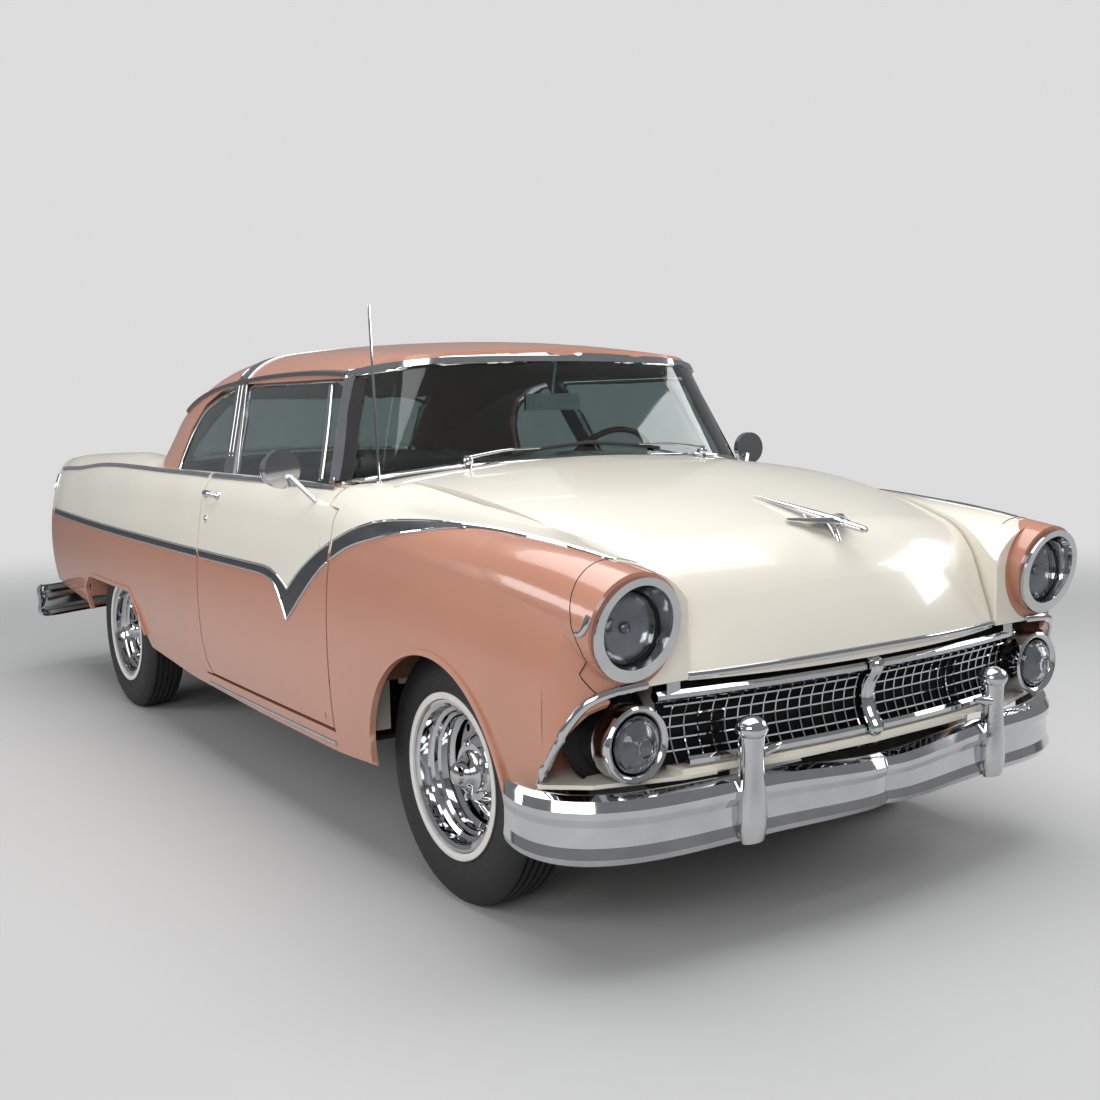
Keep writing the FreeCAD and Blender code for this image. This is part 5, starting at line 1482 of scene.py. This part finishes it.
@dataclass
class Cockpit:
    """Rings and faces of the instruments, three knobs and a bright line across the dashboard.

    Args:
        dials: (x, radius) of each instrument's ring.
        knobs: x of each knob.
    """

    dials: Pairs = ((0.380, 0.070), (0.270, 0.032), (0.490, 0.032))
    knobs: tuple[float, ...] = (0.10, -0.10, 0.0)

    def build(self) -> None:
        """Makes the fittings in front of the driver."""
        skin = Skin("dashboard")
        rings, faces = bmesh.new(), bmesh.new()
        for x, radius in self.dials:
            bore = radius - 0.006
            ring = [(bore, -0.003), (radius, -0.003), (radius, 0.008), (radius - 0.003, 0.011), (bore, 0.008),
                    (bore, -0.003)]
            self.mount(rings, skin, (x, 0.2, 0.975), 40, ring)
        knob = [(0.012, -0.002), (0.012, 0.014), (0.009, 0.018), (0.0, 0.018)]
        for x in self.knobs:
            self.mount(rings, skin, (x, 0.2, 0.945), 20, knob)
        path = smooth_path([(x, -0.9, 0.925) for x in (-0.74, -0.3, 0.3, 0.74)], 0.03)
        places, normals = skin.lay(path, FORWARD, 0.001)
        if len(places) > 2:
            sweep(rings, places, normals, ring_section(0.010, 0.006, 8))
        finish_mesh(rings, "instrument_rings", "body", CHROME)
        for x, radius in self.dials:
            bore = radius - 0.006
            face = [(0.0, -0.002), (bore, -0.002), (bore, 0.003), (0.0, 0.003)]
            self.mount(faces, skin, (x, 0.2, 0.975), 32, face)
        finish_mesh(faces, "instrument_faces", "body", BLACK_TRIM_AND_SHADE)

    @staticmethod
    def mount(bm: Mesh, skin: Skin, start: Point, steps: int, profile: Pairs) -> None:
        """Sets one round form on the dashboard.

        Args:
            bm: the mesh.
            skin: the dashboard's surface.
            start: place behind the dashboard that it is dropped forward from.
            steps: number of turns' parts.
            profile: (radius, height) pairs.
        """
        places, normals = skin.lay([Vector(start)], FORWARD)
        for place, normal in zip(places, normals):
            lathe(bm, profile, place, normal, steps)


@dataclass
class Bench:
    """Full-width bench seat: base and back with rolled edges and sewn channels.

    Args:
        node: CAD node of the seat.
        base_low: lowest corner of the cushion.
        base_high: highest corner of the cushion.
        back_low: lowest corner of the upright backrest.
        back_high: highest corner of the upright backrest.
        lean: backrest's lean in degrees.
        channels: how many are sewn across it.
    """

    node: str
    base_low: Point
    base_high: Point
    back_low: Point
    back_high: Point
    lean: float
    channels: int = 11

    def build(self) -> None:
        """Makes the cushion and the backrest."""
        for word, low, high in (("cushion", self.base_low, self.base_high),
                                ("backrest", self.back_low, self.back_high)):
            cushion = word == "cushion"
            bm = bmesh.new()
            block(bm, low, high, edge=0.035, segments=4)
            bmesh.ops.subdivide_edges(bm, edges=bm.edges, cuts=3, use_grid_fill=True)
            centre = (Vector(low) + Vector(high)) / 2
            span = high[0] - low[0]
            for vert in bm.verts:
                share = (vert.co.x - low[0]) / span
                rib = abs(math.sin(math.pi * share * self.channels)) ** 0.6
                if cushion and vert.co.z > centre.z:
                    vert.co.z += 0.010 * rib - 0.008
                elif not cushion:
                    if vert.co.y < centre.y:
                        vert.co.y -= 0.010 * rib - 0.006
                    vert.co.y += (vert.co.z - low[2]) * math.tan(math.radians(self.lean))
            piece = finish_mesh(bm, f"{self.node}_{word}", "body", SEAT_CLOTH if cushion else SEAT_VINYL,
                                stands_for=self.node if cushion else "")


# ---------------------------------------------------------------- studio


BACKDROP = (0.72, 0.72, 0.72, 1.0)
AMBIENT, AMBIENT_STRENGTH = (0.30, 0.31, 0.32, 1), 0.8
FLOOR_PAINT = Finish("floor_paint", (0.50, 0.50, 0.50), roughness=0.8, variation=0.004, scale=0.6)
FLOOR_HALF = 60
FADE_START, FADE_END = 3.2, 8.5
SENSOR_WIDTH, FAR_CLIP = 36.0, 200.0


@dataclass
class Studio:
    """Floor, backdrop, lamps and camera.

    Args:
        eye: the camera's place.
        yaw: its turn from straight back, in radians.
        pitch: how far it looks down, in radians.
        roll: its turn round its own axis, in radians.
        lens: focal length in millimetres.
        lamps: (name, place, target, size, power) of each lamp.
    """

    eye: Point = (-2.52043, -4.67333, 1.32740)
    yaw: float = 0.602218
    pitch: float = 0.111227
    roll: float = -0.0178596
    lens: float = 42.41
    lamps: tuple[tuple[str, Point, Point, tuple[float, float], float], ...] = (
        ("top_lamp", (0.0, -0.6, 5.2), (0, 0, 0.6), (5.0, 7.0), 330),
        ("front_lamp", (-4.6, -6.2, 3.2), (0, -0.8, 0.6), (3.4, 2.2), 150),
        ("side_lamp", (-6.0, 1.2, 2.6), (0, 0.2, 0.7), (5.0, 1.6), 130),
        ("far_lamp", (5.2, -3.2, 2.8), (0, -0.8, 0.7), (3.0, 2.0), 110))

    def camera(self) -> None:
        """Sets the camera."""
        flat = math.cos(self.pitch)
        ahead = Vector((math.sin(self.yaw) * flat, math.cos(self.yaw) * flat, -math.sin(self.pitch)))
        level = ahead.cross(Vector(UP)).normalized()
        rise = level.cross(ahead)
        right = level * math.cos(self.roll) + rise * math.sin(self.roll)
        up = rise * math.cos(self.roll) - level * math.sin(self.roll)
        data = bpy.data.cameras.new("camera")
        data.lens = self.lens
        data.sensor_width = SENSOR_WIDTH
        data.clip_end = FAR_CLIP
        made = bpy.data.objects.new("camera", data)
        turn = Matrix((right, up, -ahead)).transposed().to_4x4()
        made.matrix_world = Matrix.Translation(Vector(self.eye)) @ turn
        bpy.context.scene.collection.objects.link(made)
        bpy.context.scene.camera = made

    @staticmethod
    def lamp(name: str, place: Point, target: Point, size: tuple[float, float], power: float) -> None:
        """Soft rectangular lamp that faces its target.

        Args:
            name: the lamp's name.
            place: where it hangs.
            target: what it faces.
            size: width and height.
            power: watts.
        """
        data = bpy.data.lights.new(name, "AREA")
        data.shape = "RECTANGLE"
        data.size, data.size_y = size
        data.energy = power
        made = bpy.data.objects.new(name, data)
        facing = (Vector(target) - Vector(place)).to_track_quat("-Z", "Y")
        made.matrix_world = Matrix.Translation(Vector(place)) @ facing.to_matrix().to_4x4()
        bpy.context.scene.collection.objects.link(made)

    @staticmethod
    def floor() -> None:
        """Pale floor that runs into the backdrop without an edge."""
        bm = bmesh.new()
        bmesh.ops.create_grid(bm, x_segments=1, y_segments=1, size=FLOOR_HALF)
        mesh = bpy.data.meshes.new("studio_floor")
        bm.to_mesh(mesh)
        bm.free()
        made = bpy.data.objects.new("studio_floor", mesh)
        material, graph = FLOOR_PAINT.fresh()
        span = graph.node("ShaderNodeVectorMath", operation="LENGTH")
        graph.link(graph.place, span.inputs[0])
        far = graph.node("ShaderNodeMapRange", interpolation_type="SMOOTHSTEP")
        far.inputs["From Min"].default_value = FADE_START
        far.inputs["From Max"].default_value = FADE_END
        graph.link(span.outputs["Value"], far.inputs["Value"])
        glow = graph.node("ShaderNodeEmission")
        glow.inputs["Color"].default_value = BACKDROP
        graph.shade(graph.math("MULTIPLY", far.outputs[0], graph.seen()), graph.base, glow,
                    graph.out.inputs["Surface"])
        mesh.materials.append(material)
        bpy.context.scene.collection.objects.link(made)

    @staticmethod
    def world() -> None:
        """Even pale surroundings that show as the backdrop to the camera."""
        world = bpy.data.worlds.new("studio")
        bpy.context.scene.world = world
        world.use_nodes = True
        nodes = Nodes(world.node_tree)
        glow = nodes.node("ShaderNodeBackground")
        glow.inputs[0].default_value = AMBIENT
        glow.inputs[1].default_value = AMBIENT_STRENGTH
        shown = nodes.node("ShaderNodeBackground")
        shown.inputs[0].default_value = BACKDROP
        nodes.shade(nodes.seen(), glow, shown, nodes.node("ShaderNodeOutputWorld").inputs[0])

    def build(self) -> None:
        """Sets the whole studio."""
        self.camera()
        self.floor()
        self.world()
        for lamp in self.lamps:
            self.lamp(*lamp)
        bpy.context.scene.view_settings.view_transform = "Standard"


def main() -> None:
    """Builds every sub-assembly in order."""
    logging.basicConfig(level=logging.INFO, format="%(name)s: %(message)s")
    Studio().build()
    CadFinishes().dress()
    for place in ("front", "rear"):
        for hand in Hand:
            Wheel(hand, place).build()
    for strip in mouldings():
        strip.build()
    BandLines().build()
    GrilleTrim().build()
    for name, sign in (("front", 1), ("rear", -1)):
        BumperTrim(name, sign).build()
    HoodOrnament().build()
    Cockpit().build()
    for hand in Hand:
        for kind in (SideSpear, Headlamp, ParkingLamp, Wiper, DoorHardware, MirrorGlass, TailLamp):
            kind(hand).build()
        for place in ("front", "rear"):
            WheelTrim(hand, place).build()
    Bench("front_seat", (-0.66, -0.63, 0.44), (0.66, -0.13, 0.65),
          (-0.66, -0.20, 0.50), (0.66, -0.07, 0.99), 6).build()
    Bench("rear_seat", (-0.58, 0.21, 0.54), (0.58, 0.62, 0.67),
          (-0.58, 0.58, 0.60), (0.58, 0.66, 1.05), 10).build()


if __name__ == "__main__":
    main()
